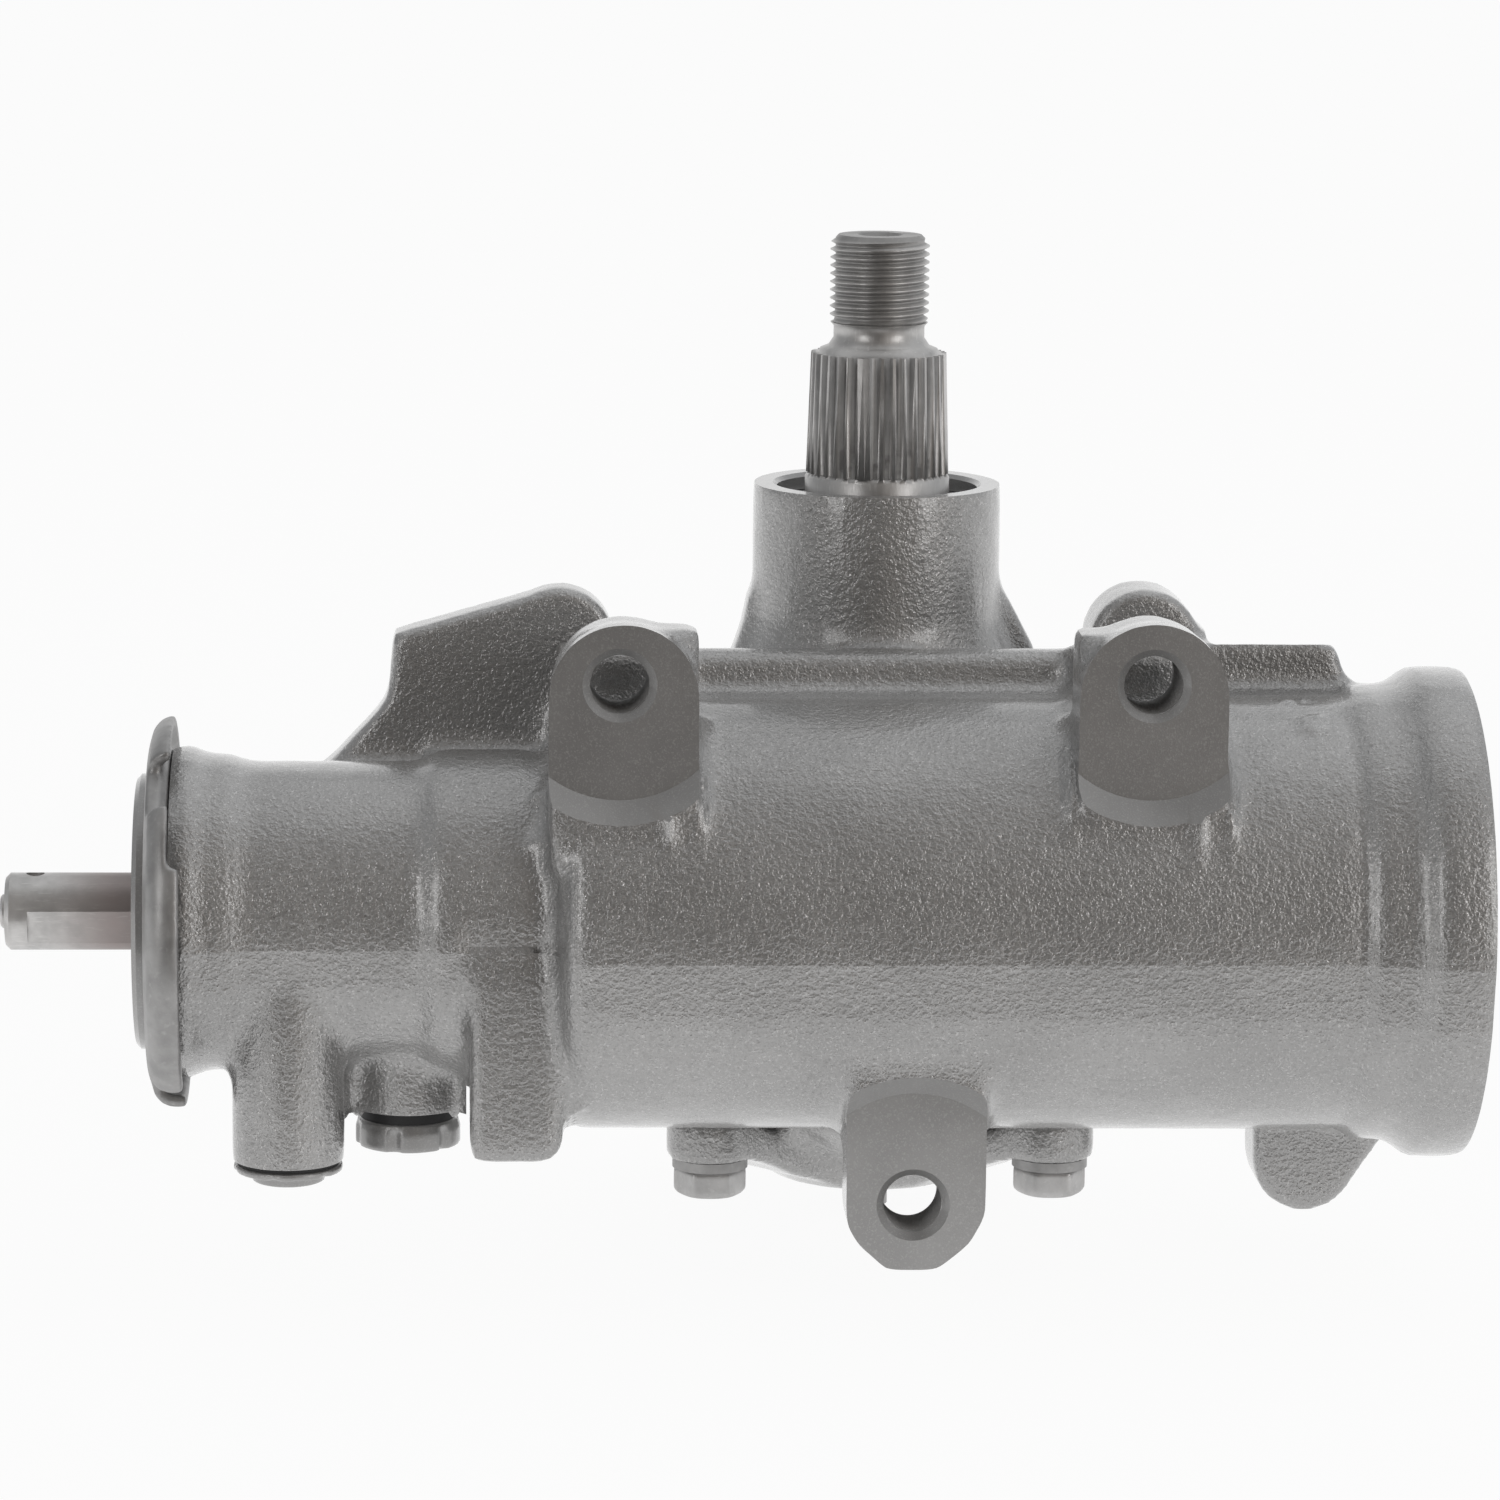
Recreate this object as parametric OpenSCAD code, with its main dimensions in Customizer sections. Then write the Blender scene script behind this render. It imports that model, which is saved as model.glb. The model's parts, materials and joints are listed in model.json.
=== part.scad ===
// Recirculating-ball power-steering gear with rotary valve, rack piston and sector shaft.
// X runs along the worm axis from the input shaft into the gear, Z up along the pitman shaft.
// The origin is on the worm axis where the input shaft leaves the bearing adjuster plug.

/* [Gear train] */
// Distance from the worm axis to the pitman axis
axis_offset = 52; // [50:0.5:54]
// Pitch radius of the sector
sector_pitch_r = 27; // [26:0.5:28]
// Teeth that the sector would have on a full circle
sector_full_teeth = 12; // [11:1:12]
// Pressure angle of rack and sector
pressure_angle = 25; // [22:1:27]
// Height of a tooth above its pitch line
tooth_addendum = 3.5; // [3:0.1:3.8]
// Room between a tooth tip and the mating root
tooth_root_gap = 0.8; // [0.5:0.1:1.2]
// Backlash between rack and sector at the pitch line
tooth_backlash = 0.3; // [0.2:0.05:0.6]
// Height of the sector along the pitman axis
sector_face = 38; // [30:1:42]
// Swing of the pitman shaft to each side, degrees
swing = 43; // [35:1:45]
// Travel of the ball nut for one turn of the worm
worm_lead = 12.1; // [11.5:0.1:13]
// Radius at which the ball centres run
ball_pitch_r = 12.5; // [12:0.1:13]
// Diameter of a ball
ball_d = 6.35; // [5.5:0.05:6.5]
// Turns of balls in the nut
ball_turns = 2.5; // [1.5:0.5:2.5]
// Outside radius of the worm
worm_r = 12.2; // [11.5:0.1:12.4]

/* [Rack piston] */
// Radius of the cylinder bore
bore_r = 40; // [39:0.5:41]
// Length of the piston from the pitman axis towards the valve
piston_front = 44.7; // [43:0.1:50]
// Length of the piston from the pitman axis towards the end plug
piston_back = 77.3; // [74:0.1:85]
// Room left at each end of the stroke
stop_gap = 3; // [2:0.5:5]
// Width of the piston ring
piston_ring_w = 5; // [3:0.5:6]
// Depth of the piston ring groove
piston_ring_depth = 4.4; // [4:0.1:5]
// Radius of the thread of the piston end plug
piston_plug_r = 16; // [15:0.5:18]
// Length of the piston end plug
piston_plug_len = 16; // [12:1:20]

/* [Valve and worm bearings] */
// Length of the rotary valve body
valve_len = 38; // [34:0.5:42]
// Outside radius of the rotary valve body
valve_r = 25.2; // [24.5:0.1:25.6]
// Radius of the spool inside the valve body
spool_r = 16.4; // [15:0.1:17]
// Thickness of the worm's thrust flange
worm_flange_t = 6.6; // [5:0.2:8]
// Radius of the worm's thrust flange
worm_flange_r = 20; // [19:0.5:22]
// Radius of a thrust roller
thrust_roller_r = 1.25; // [1:0.05:1.5]
// Thickness of a thrust race
thrust_race_t = 1.2; // [0.8:0.1:1.6]
// Thickness of the wall between valve and cylinder
bulkhead_t = 12; // [9:0.5:15]

/* [Input shaft] */
// Radius of the input shaft outside the gear
input_r = 8.4; // [7.5:0.1:9]
// Length of the input shaft outside the gear
input_len = 28; // [22:0.5:40]
// Depth of the flat along the front of the input shaft
input_flat = 0.95; // [0.5:0.05:1.2]
// Radius of the input shaft in its seal and needle bearing
journal_r = 11.1; // [10.5:0.1:11.5]
// Radius of the torsion bar at its ends
torsion_r = 3.7; // [3.2:0.1:4]
// Radius of the torsion bar at its waist
torsion_waist_r = 2.8; // [2:0.1:3]
// Length of torsion bar that stands out of the input shaft
torsion_nub = 1.2; // [0.5:0.1:2]
// Radius of the cross pin and of its hole
stub_pin_r = 2; // [1.5:0.1:2.2]

/* [Adjuster plug and locknut] */
// Length of the adjuster plug
plug_len = 28.8; // [27:0.2:32]
// Length of adjuster plug that stands out of the housing
plug_proud = 7.9; // [7.5:0.1:9]
// Radius of the adjuster plug's thread
plug_r = 30; // [29:0.1:30.5]
// Radius of the adjuster plug's pilot behind the thread
pilot_r = 27; // [26.6:0.1:27.5]
// Outside radius of the locknut's dished rim
locknut_r = 42.6; // [41.5:0.1:43.5]
// Thickness of the locknut's sheet
locknut_t = 2.6; // [2:0.1:3]
// Spanner notches around the locknut
locknut_notches = 3; // [3:1:8]
// Angle that each notch takes out of the rim
locknut_notch_deg = 20; // [16:1:28]

/* [Housing] */
// Wall of the cylinder
cylinder_wall = 7.3; // [6:0.1:9]
// Draft of the cylinder from the valve end to the open end
cylinder_draft = 0.7; // [0:0.1:1.2]
// Outside radius of the ring at the open end
end_ring_r = 53.9; // [52:0.1:56]
// Outside radius of the valve housing's flange
flange_r = 36.6; // [36:0.1:38]
// Outside radius of the valve housing
valve_wall_r = 32.8; // [32:0.1:34]
// Outside radius of the valve housing's inner band
band_r = 35.4; // [34.6:0.1:36]
// Inside radius of the sector chamber
sector_chamber_r = 33; // [32:0.5:34]
// Outside radius of the sector chamber
drum_r = 43; // [42:0.5:45]
// Height of the sector chamber's roof over the worm axis
drum_top = 45; // [44:0.5:47]
// Depth of the side cover's joint below the worm axis
deck_z = 49; // [48:0.5:52]
// Outside radius of the pitman boss
boss_r = 27.9; // [27.5:0.1:30]
// Height of the pitman boss's rim over the worm axis
boss_top = 87.8; // [85:0.1:92]
// Inside radius of the pitman boss at its rim
boss_bore_r = 22.6; // [22.2:0.1:23.5]
// Depth of the pitman snap ring's seat below the rim
snap_depth = 5.5; // [4:0.5:8]
// Height of the oil-gallery rib over the worm axis
rib_top = 56; // [54:0.2:60]

/* [Mounting lugs] */
// Distance of the milled lug faces in front of the worm axis
lug_face = 36; // [35:0.5:38]
// Distance of the lugs' back in front of the worm axis
lug_back = 17; // [14:0.5:20]
// Height of the two upper bolt holes over the worm axis
upper_hole_z = 55.9; // [54:0.1:58]
// Distance of the left upper hole from the pitman axis
left_hole_x = 60.2; // [58:0.1:62]
// Distance of the right upper hole from the pitman axis
right_hole_x = 53.1; // [51:0.1:55]
// Depth of the lower bolt hole below the worm axis
lower_hole_z = 57.1; // [56:0.1:59]
// Distance of the lower hole from the pitman axis
lower_hole_x = 3.5; // [0:0.1:6]
// Radius of the tapped frame-bolt holes
lug_hole_r = 6.3; // [5.5:0.05:6.6]
// Radius of the chamfer at a hole's mouth
lug_chamfer_r = 7.9; // [7.2:0.1:8.5]
// Radius of a lug's rounded end
lug_r = 15.4; // [14.5:0.1:16]
// Radius of the face cutter at the milled faces
cutter_r = 24.6; // [23:0.1:26]

/* [Pitman shaft] */
// Radius of the pitman shaft in its needle bearing
pitman_r = 16.9; // [16.5:0.1:17.2]
// Radius of the serration at its lower end
spline_r = 16.05; // [15.5:0.05:16.3]
// Radius of the serration at its upper end
spline_top_r = 15.2; // [14.5:0.05:15.6]
// Height of the serration's upper end over the worm axis
spline_top = 117.3; // [114:0.1:122]
// Length of the serration
spline_len = 27; // [24:0.5:30]
// Teeth of the serration
spline_teeth = 36; // [28:1:40]
// Depth of the serration
spline_depth = 1.1; // [0.8:0.1:1.4]
// Radius of the neck between serration and thread
neck_r = 10.2; // [9.5:0.1:10.6]
// Length of the neck between serration and thread
neck_len = 7; // [5:0.5:9]
// Outside radius of the pitman nut's thread
thread_r = 11.11; // [10.8:0.01:12]
// Length of the pitman nut's thread
thread_len = 19.4; // [16:0.2:24]
// Radius of the pitman shaft's lower journal
tail_r = 14; // [13:0.1:15]
// Diameter of a needle of the pitman bearing
pitman_needle_d = 3; // [2.5:0.1:3.2]
// Length of the pitman bearing
pitman_bearing_len = 30; // [24:1:34]

/* [Side cover] */
// Half the spacing of the cover bolts
cover_bolt_pitch = 38; // [37.5:0.1:40]
// Radius of the cover and the housing around each bolt
cover_ear_r = 9.8; // [9:0.1:11]
// Thickness of the cover at its bolts
cover_t = 9.6; // [8:0.2:12]
// Thickness of the cover at its hub, from the joint downwards
cover_hub_depth = 22; // [20:0.5:26]
// Radius of the cover's hub
cover_hub_r = 25; // [23:0.5:28]
// Width of a bolt head across its flats
bolt_flats = 14.3; // [13:0.1:15]
// Height of a bolt head
bolt_head = 6.2; // [5:0.1:7]
// Radius of a cover bolt's shank
bolt_r = 4.7; // [4:0.1:5]
// Thickness of a split lock washer
washer_t = 2.2; // [1.6:0.1:2.6]
// Radius of the lash adjuster's thread
lash_r = 4.6; // [4.2:0.1:5.2]
// Length of lash adjuster that stands out of the cover
lash_proud = 8; // [6:0.5:12]
// Height of the jam nut
jam_nut_h = 5; // [4.5:0.5:6]
// Width of the jam nut across its flats
jam_nut_flats = 15; // [14:0.5:16]
// Depth of the jam nut's seat in the cover's hub
jam_seat = 3; // [2:0.5:3.5]

/* [End plug] */
// Thickness of the housing end plug
end_plug_t = 12; // [10:0.5:14]
// Radius of the housing end plug
end_plug_r = 44; // [43:0.1:45]
// Width of the end plug's retaining ring
end_ring_t = 3; // [2:0.2:4]
// Depth of the retaining ring's groove
end_groove = 2.4; // [1.5:0.1:3]
// Length of the housing past the retaining ring
end_lip = 9.4; // [6:0.2:12]

/* [Ports] */
// Radius of the left port's boss
left_port_r = 12.15; // [11.8:0.05:12.6]
// Depth of the left port's face below the worm axis
left_port_z = 50.5; // [48:0.5:54]
// Distance of the left port in front of the worm axis
left_port_y = 19; // [17:0.5:20]
// Radius of the right port's boss
right_port_r = 12.65; // [12:0.05:13]
// Depth of the right port's face below the worm axis
right_port_z = 42; // [41.5:0.5:46]
// Distance of the right port in front of the worm axis
right_port_y = 4; // [2:0.5:8]
// Radius of the ports' thread
port_thread_r = 8; // [7:0.1:8.5]
// Distance of the left port from the valve housing's end
left_port_in = 25.1; // [24:0.1:28]
// Distance between the two ports
port_pitch = 25.7; // [25.2:0.1:28]

/* [Clearances] */
// Gap between pieces that move past each other
run_gap = 0.3; // [0.2:0.05:0.4]
// Gap between round pieces that sit in one another
fit_gap = 0.05; // [0.03:0.01:0.08]
// Gap between the piston ring and the bore
ring_gap = 0.08; // [0.05:0.01:0.1]

/* [Hidden] */
$fn = 64;

cast_grey = "#8b8784";
milled_grey = "#7d7a77";
steel = "#8e8c8a";
dark_steel = "#6a6866";
rubber = "#1c1c1c";
bronze = "#a8834a";
teflon = "#5a4a3a";

// Stroke of the rack piston to each side, and the stations along X from the pitman axis
rack_travel = sector_pitch_r * swing * PI / 180;
rack_pitch = 2 * PI * sector_pitch_r / sector_full_teeth;
chamber_x = -(piston_front + rack_travel + stop_gap);
bulkhead_x = chamber_x - bulkhead_t;
thrust_stack = 2 * (thrust_race_t + thrust_roller_r);
flange_x1 = bulkhead_x - thrust_stack - run_gap;
flange_x0 = flange_x1 - worm_flange_t;
valve_x0 = flange_x0 - valve_len;
plug_x1 = valve_x0 - thrust_stack - run_gap;
plug_x0 = plug_x1 - plug_len;
valve_end_x = plug_x0 + plug_proud;
thread_end_x = valve_end_x + 14.5;
input_x = plug_x0 - 0.5;
input_end_x = input_x - input_len;
end_plug_x0 = piston_back + rack_travel + stop_gap;
end_plug_x1 = end_plug_x0 + end_plug_t;
end_ring_x1 = end_plug_x1 + end_ring_t;
housing_end_x = end_ring_x1 + end_lip;
left_port_x = valve_end_x + left_port_in;
right_port_x = left_port_x + port_pitch;

// Radii and heights that several pieces share
cylinder_r = bore_r + cylinder_wall;
valve_bore_r = valve_r + run_gap;
worm_bore_r = worm_r + 1.2;
pitch_line_y = axis_offset - sector_pitch_r;
rack_tip_y = pitch_line_y + tooth_addendum;
rack_root_y = pitch_line_y - tooth_addendum - tooth_root_gap;
sector_tip_r = sector_pitch_r + tooth_addendum;
sector_root_r = sector_pitch_r - tooth_addendum - tooth_root_gap;
chamber_top = sector_face / 2 + 4;
shell_t = 1.6;
pitman_shell_r = pitman_r + run_gap + pitman_needle_d + shell_t + fit_gap;
pitman_bearing_z = chamber_top + 4;
snap_t = 1.7;
snap_groove = 1.2;
seal_washer_t = 1.6;
seal_h = 13;
snap_z = boss_top - snap_depth;
pitman_seal_z = snap_z - seal_washer_t - seal_h;
port_oil_r = 5;
spline_z = spline_top - spline_len;
thread_z = spline_top + neck_len;
deck_bolts = [for (sx = [-1, 1], sy = [-1, 1]) [sx * cover_bolt_pitch, axis_offset + sy * cover_bolt_pitch]];
cover_roof_z = -(deck_z + cover_hub_depth);
bushing_r = tail_r + run_gap + 2.4;
bushing_top = -(deck_z - 4);
bushing_len = 18;
tail_z = cover_roof_z + 9;
lash_head_r = 8;
lash_head_h = 3.4;

// Ball track and worm
groove_r = ball_d / 2 + run_gap;
circuit_x = -26;
circuit_len = ball_turns * worm_lead;
nut_bore_r = worm_r + 0.8;
track_r = ball_pitch_r + ball_d / 2 + run_gap;
worm_thread_x0 = circuit_x - rack_travel - 2;
worm_thread_len = circuit_len + 2 * rack_travel + 4;
worm_end_x = worm_thread_x0 + worm_thread_len;
worm_relief = 2;
worm_neck_r = ball_pitch_r - groove_r - 0.4;
slices_per_turn = 16;
profile_step = 15;

// Ball return guide, in a pocket on the front of the piston
pocket_y = -26;
guide_r = ball_d / 2 + 0.35;
guide_t = 0.75;
guide_y = pocket_y - guide_r - guide_t - 0.2;
guide_x0 = circuit_x + 3;
guide_x1 = circuit_x + circuit_len;
guide_span = norm([guide_x1 - guide_x0, 2 * ball_pitch_r]);
guide_angle = atan2(2 * ball_pitch_r, guide_x1 - guide_x0);

// Places everything so that the origin is where the input shaft leaves its plug
module placed() {
    translate([-input_x, 0, 0]) children();
}

// Turns a profile with points [radius, x] about the worm axis
module spin_x() {
    rotate([0, 90, 0]) rotate_extrude() children();
}

// Turns a profile with points [radius, z] about the pitman axis
module spin_pitman() {
    translate([0, axis_offset, 0]) rotate_extrude() children();
}

// A round bar along the worm axis between two stations
module bar_x(r, x0, x1) {
    translate([x0, 0, 0]) rotate([0, 90, 0]) cylinder(r = r, h = x1 - x0);
}

// A tube along the worm axis between two stations
module tube_x(r_in, r_out, x0, x1) {
    spin_x() translate([r_in, x0]) square([r_out - r_in, x1 - x0]);
}

// A tube along the pitman axis between two heights
module tube_pitman(r_in, r_out, z0, z1) {
    spin_pitman() translate([r_in, z0]) square([r_out - r_in, z1 - z0]);
}

// A round ring of wire about the worm axis
module wire_ring_x(r, wire, x) {
    spin_x() translate([r, x]) circle(r = wire);
}

// An outline in X and Z as a slab between two stations along Y
module slab_y(y0, y1) {
    translate([0, y1, 0]) rotate([90, 0, 0]) linear_extrude(y1 - y0) children();
}

// A round bar along Y
module bar_y(r, x, z, y0, y1) {
    translate([x, y1, z]) rotate([90, 0, 0]) cylinder(r = r, h = y1 - y0);
}

// Needles or rollers of a bearing about the worm axis
module needles_x(count, r, needle_r, x0, x1) {
    for (i = [0 : count - 1])
        rotate([i * 360 / count, 0, 0]) translate([0, r, 0]) bar_x(needle_r, x0, x1);
}

// Radial rollers of a thrust bearing about the worm axis
module thrust_rollers_at(x) {
    count = 20;
    for (i = [0 : count - 1])
        rotate([i * 360 / count, 0, 0]) translate([x, 0, worm_r + 4]) cylinder(r = thrust_roller_r, h = 4.4);
}

// The two races on either side of a row of thrust rollers
module thrust_races_at(x0) {
    r_in = worm_r + 2.6;
    r_out = worm_flange_r + 2;
    tube_x(r_in, r_out, x0, x0 + thrust_race_t);
    tube_x(r_in, r_out, x0 + thrust_stack - thrust_race_t, x0 + thrust_stack);
}

// Involute helper: angle in degrees at a radius for a base circle
function involute(a) = tan(a) * 180 / PI - a;
function flank_half(r) =
    let (base_r = sector_pitch_r * cos(pressure_angle), rr = max(r, base_r))
    (rack_pitch / 2 - tooth_backlash / 2) / 2 / sector_pitch_r * 180 / PI
        + involute(pressure_angle) - involute(acos(min(1, base_r / rr)));

// One sector tooth that points along +X
module sector_tooth() {
    steps = 6;
    radii = [for (i = [0 : steps]) sector_root_r - 0.6 + (sector_tip_r - sector_root_r + 0.6) * i / steps];
    rising = [for (r = radii) r * [cos(flank_half(r)), -sin(flank_half(r))]];
    falling = [for (i = [steps : -1 : 0]) radii[i] * [cos(flank_half(radii[i])), sin(flank_half(radii[i]))]];
    polygon(concat([[0, 0]], rising, falling));
}

// One space of the rack, open towards +Y
module rack_space() {
    slope = tan(pressure_angle);
    half = (rack_pitch / 2 + tooth_backlash / 2) / 2;
    open_h = tooth_addendum + 3;
    root_h = tooth_addendum + tooth_root_gap;
    polygon([
        [-half - open_h * slope, pitch_line_y + open_h], [half + open_h * slope, pitch_line_y + open_h],
        [half - root_h * slope, rack_root_y], [-half + root_h * slope, rack_root_y]
    ]);
}

// Radius of the worm at an angle from the middle of its single-start ball groove
function worm_radius(angle) =
    let (across = worm_lead * angle / 360)
    abs(across) >= groove_r ? worm_r
        : min(worm_r, ball_pitch_r - sqrt(groove_r * groove_r - across * across));

// Worm thread: the groove's cross section, twisted along the worm axis
module worm_thread() {
    turns = worm_thread_len / worm_lead;
    rotate([0, 90, 0]) translate([0, 0, worm_thread_x0])
        rotate([0, 0, 360 * (worm_thread_x0 - circuit_x) / worm_lead])
        linear_extrude(worm_thread_len, twist = -360 * turns, slices = ceil(slices_per_turn * turns),
            segments = 360 / profile_step)
        polygon([for (a = [-180 : profile_step : 179]) worm_radius(a) * [cos(a), sin(a)]]);
}

// Outline of a mounting lug: a rounded end over straight sides
module lug_outline(x, z_round, z_foot) {
    translate([x, z_round]) circle(r = lug_r);
    translate([x - lug_r + 0.15, min(z_round, z_foot)]) square([2 * lug_r - 0.3, abs(z_round - z_foot)]);
}

// Face cut, chamfer and tapped hole of a mounting lug as one turned cut along Y
module lug_cut(x, z, back) {
    depth = 12;
    chamfer = lug_chamfer_r - lug_hole_r;
    translate([x, 0, z]) rotate([-90, 0, 0]) rotate_extrude() polygon([
        [0, -lug_face - depth], [cutter_r + depth, -lug_face - depth], [cutter_r, -lug_face],
        [lug_chamfer_r, -lug_face], [lug_hole_r, -lug_face + chamfer], [lug_hole_r, -back + 1], [0, -back + 1]
    ]);
}

// Outside of the valve housing, cylinder and end ring as one turned profile
module cast_barrel() {
    shoulder_x = chamber_x - 1.8;
    spin_x() polygon([
        [0, valve_end_x], [flange_r - 1.4, valve_end_x], [flange_r - 0.6, valve_end_x + 0.8],
        [flange_r - 0.6, valve_end_x + 3], [flange_r, valve_end_x + 3.4], [flange_r - 0.3, valve_end_x + 4.4],
        [flange_r - 2, valve_end_x + 5.8], [flange_r - 2.2, valve_end_x + 12.6],
        [valve_wall_r + 0.4, valve_end_x + 14.6], [valve_wall_r, valve_end_x + 15.8],
        [valve_wall_r, bulkhead_x - 21.4],
        [band_r - 0.7, bulkhead_x - 20], [band_r, bulkhead_x - 18.4], [band_r, bulkhead_x + 0.4],
        [band_r - 0.8, bulkhead_x + 2], [band_r - 0.8, shoulder_x - 4.6], [band_r + 1, shoulder_x - 3.4],
        [cylinder_r - 3, shoulder_x - 1.8], [cylinder_r - 0.8, shoulder_x], [cylinder_r, shoulder_x + 2.4],
        [cylinder_r + cylinder_draft, end_plug_x0 - 1.6],
        [cylinder_r + cylinder_draft + 2, end_plug_x0 + 0.8],
        [cylinder_r + cylinder_draft + 2.2, end_plug_x1 - 2.6], [end_ring_r - 0.6, end_plug_x1 + 0.4],
        [end_ring_r, end_plug_x1 + 1.6], [end_ring_r, housing_end_x - 1], [end_ring_r - 1, housing_end_x],
        [0, housing_end_x]
    ]);
}

// Drum of the sector chamber, pitman boss with a web to each side, and flange for the side cover
module cast_drum() {
    edge = 5;
    spin_pitman() polygon([
        [0, -deck_z], [drum_r, -deck_z], [drum_r, drum_top - edge], [drum_r - edge, drum_top],
        [boss_r + 6.6, drum_top + 0.8], [boss_r + 4, drum_top + 3.6], [boss_r + 1.7, drum_top + 8],
        [boss_r + 0.4, drum_top + 12], [boss_r, drum_top + 15],
        [boss_r, boss_top - 0.6], [boss_r - 0.6, boss_top], [0, boss_top]
    ]);
    web_half = 6;
    slab_y(axis_offset - web_half, axis_offset + web_half) polygon([
        [-boss_r - 6.4, drum_top - 1.5], [-boss_r - 4.4, drum_top + 5.2], [-boss_r - 2.4, drum_top + 10.5],
        [-boss_r - 1.5, drum_top + 16], [-boss_r + 0.4, drum_top + 21], [boss_r - 0.4, drum_top + 21],
        [boss_r + 3, drum_top + 15.3], [boss_r + 7.9, drum_top + 6], [boss_r + 9.6, drum_top - 1.5]
    ]);
    for (p = deck_bolts)
        translate([p[0], p[1], -deck_z]) cylinder(r = cover_ear_r, h = 15);
    flange_w = 2 * cover_bolt_pitch;
    translate([-cover_bolt_pitch, axis_offset - cover_bolt_pitch, -deck_z]) cube([flange_w, flange_w, 10]);
}

// Rounded oil-gallery rib along the top, deeper and higher towards the open end
module cast_rib() {
    rib_x0 = -left_hole_x - 4;
    rib_x1 = end_plug_x0 - 1.2;
    high_x = right_hole_x + 14;
    deep_x = right_hole_x - 8;
    front_y = 7.4;
    translate([rib_x0, 0, 0]) rotate([90, 0, 90]) linear_extrude(deep_x + 3 - rib_x0) polygon([
        [front_y, 20], [front_y, rib_top - 4.4], [front_y + 0.7, rib_top - 2.4],
        [front_y + 2.2, rib_top - 0.8], [front_y + 4.4, rib_top], [front_y + 8, rib_top + 0.1],
        [front_y + 10.6, rib_top - 0.9], [front_y + 12, rib_top - 3], [front_y + 12.4, 20]
    ]);
    slab_y(10, axis_offset - 16) polygon([
        [deep_x, 20], [deep_x, rib_top - 0.4], [high_x, rib_top - 0.4], [high_x + 1, rib_top + 1.8],
        [rib_x1 - 1.5, rib_top + 1.8], [rib_x1, rib_top], [rib_x1 + 2, cylinder_r + 2], [rib_x1 + 2, 20]
    ]);
}

// Cast bosses on the far side that stay undrilled, and the web between them and the valve housing
module cast_far_side() {
    far_y0 = 20;
    far_y1 = 40;
    web_y1 = 33;
    lift = (far_y1 - web_y1) * 0.17;
    hump_x = -left_hole_x - 11.6;
    hump_r = 12;
    web_x = right_port_x - 4.5;
    far_right_x = right_hole_x + 4.7;
    foot_x = end_plug_x0 - 5.2;
    slab_y(far_y0, web_y1) union() {
        polygon([
            [web_x - 21, 18], [web_x - 21, 23.4], [web_x - 13, 29], [web_x - 1.4, 41.5], [web_x, 44.5],
            [web_x + 1, rib_top + 0.5 + lift], [hump_x - 5, rib_top + 9.6 + lift],
            [hump_x + hump_r - 0.3, rib_top - 1 + lift], [hump_x + hump_r - 0.3, 18]
        ]);
        translate([hump_x, rib_top - 1 + lift]) circle(r = hump_r);
    }
    slab_y(far_y0, far_y1) union() {
        translate([far_right_x, upper_hole_z - 0.4]) circle(r = 12.5);
        translate([far_right_x - 12.4, 20]) square([24.8, upper_hole_z - 20.4]);
    }
    slab_y(12, 32) union() {
        translate([foot_x, -60]) circle(r = 11.5);
        polygon([
            [foot_x - 11.4, -60], [foot_x - 12.4, -25], [foot_x + 19.4, -25], [foot_x + 19.4, -51.5],
            [foot_x + 8.4, -68]
        ]);
    }
}

// Bosses of the two hydraulic ports and the locating block beside them
module cast_ports() {
    translate([left_port_x, -left_port_y, -left_port_z]) cylinder(r = left_port_r, h = left_port_z - 8);
    translate([right_port_x, -right_port_y, -right_port_z]) cylinder(r = right_port_r, h = right_port_z - 14);
    block_x = right_port_x + right_port_r + 0.8;
    block_w = 19.85;
    slab_y(-lug_face, -14) polygon([
        [block_x, -6], [block_x, -46.5], [block_x + 1.5, -48], [block_x + block_w - 3, -48],
        [block_x + block_w, -45], [block_x + block_w, -6]
    ]);
}

// Front lugs with the small pads behind their faces, and the walls that their bolts end short of
module cast_lugs() {
    cast_face = lug_face + 4.6;
    slab_y(-cast_face, -lug_back) lug_outline(-left_hole_x + 0.9, upper_hole_z - 2.9, 16);
    slab_y(-cast_face, -lug_back) lug_outline(right_hole_x + 0.1, upper_hole_z - 2.6, 16);
    slab_y(-lug_face + 5, -lug_back) translate([-left_hole_x + 2, 24])
        square([lug_r - 0.4, upper_hole_z - 13.1]);
    slab_y(-lug_face + 5, -lug_back) translate([right_hole_x - lug_r - 0.3, 24])
        square([lug_r, upper_hole_z - 14]);
    for (x = [-left_hole_x + 0.9, right_hole_x + 0.1])
        slab_y(-8, 12) translate([x - lug_r + 2.2, 20]) square([2 * lug_r - 4.4, upper_hole_z - 17.8]);
    lug_x = lower_hole_x + 0.6;
    half = lug_r - 0.4;
    slab_y(-cast_face, -lug_back - 2) polygon([
        [lug_x - half, -20], [lug_x - half, -lower_hole_z - 4], [lug_x - half + 2.6, -lower_hole_z - 8.6],
        [lug_x - 5.4, -lower_hole_z - 14.4], [lug_x + 5, -lower_hole_z - 14.4],
        [lug_x + half - 3.2, -lower_hole_z - 8.4], [lug_x + half, -lower_hole_z - 2.4], [lug_x + half, -20]
    ]);
}

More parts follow.
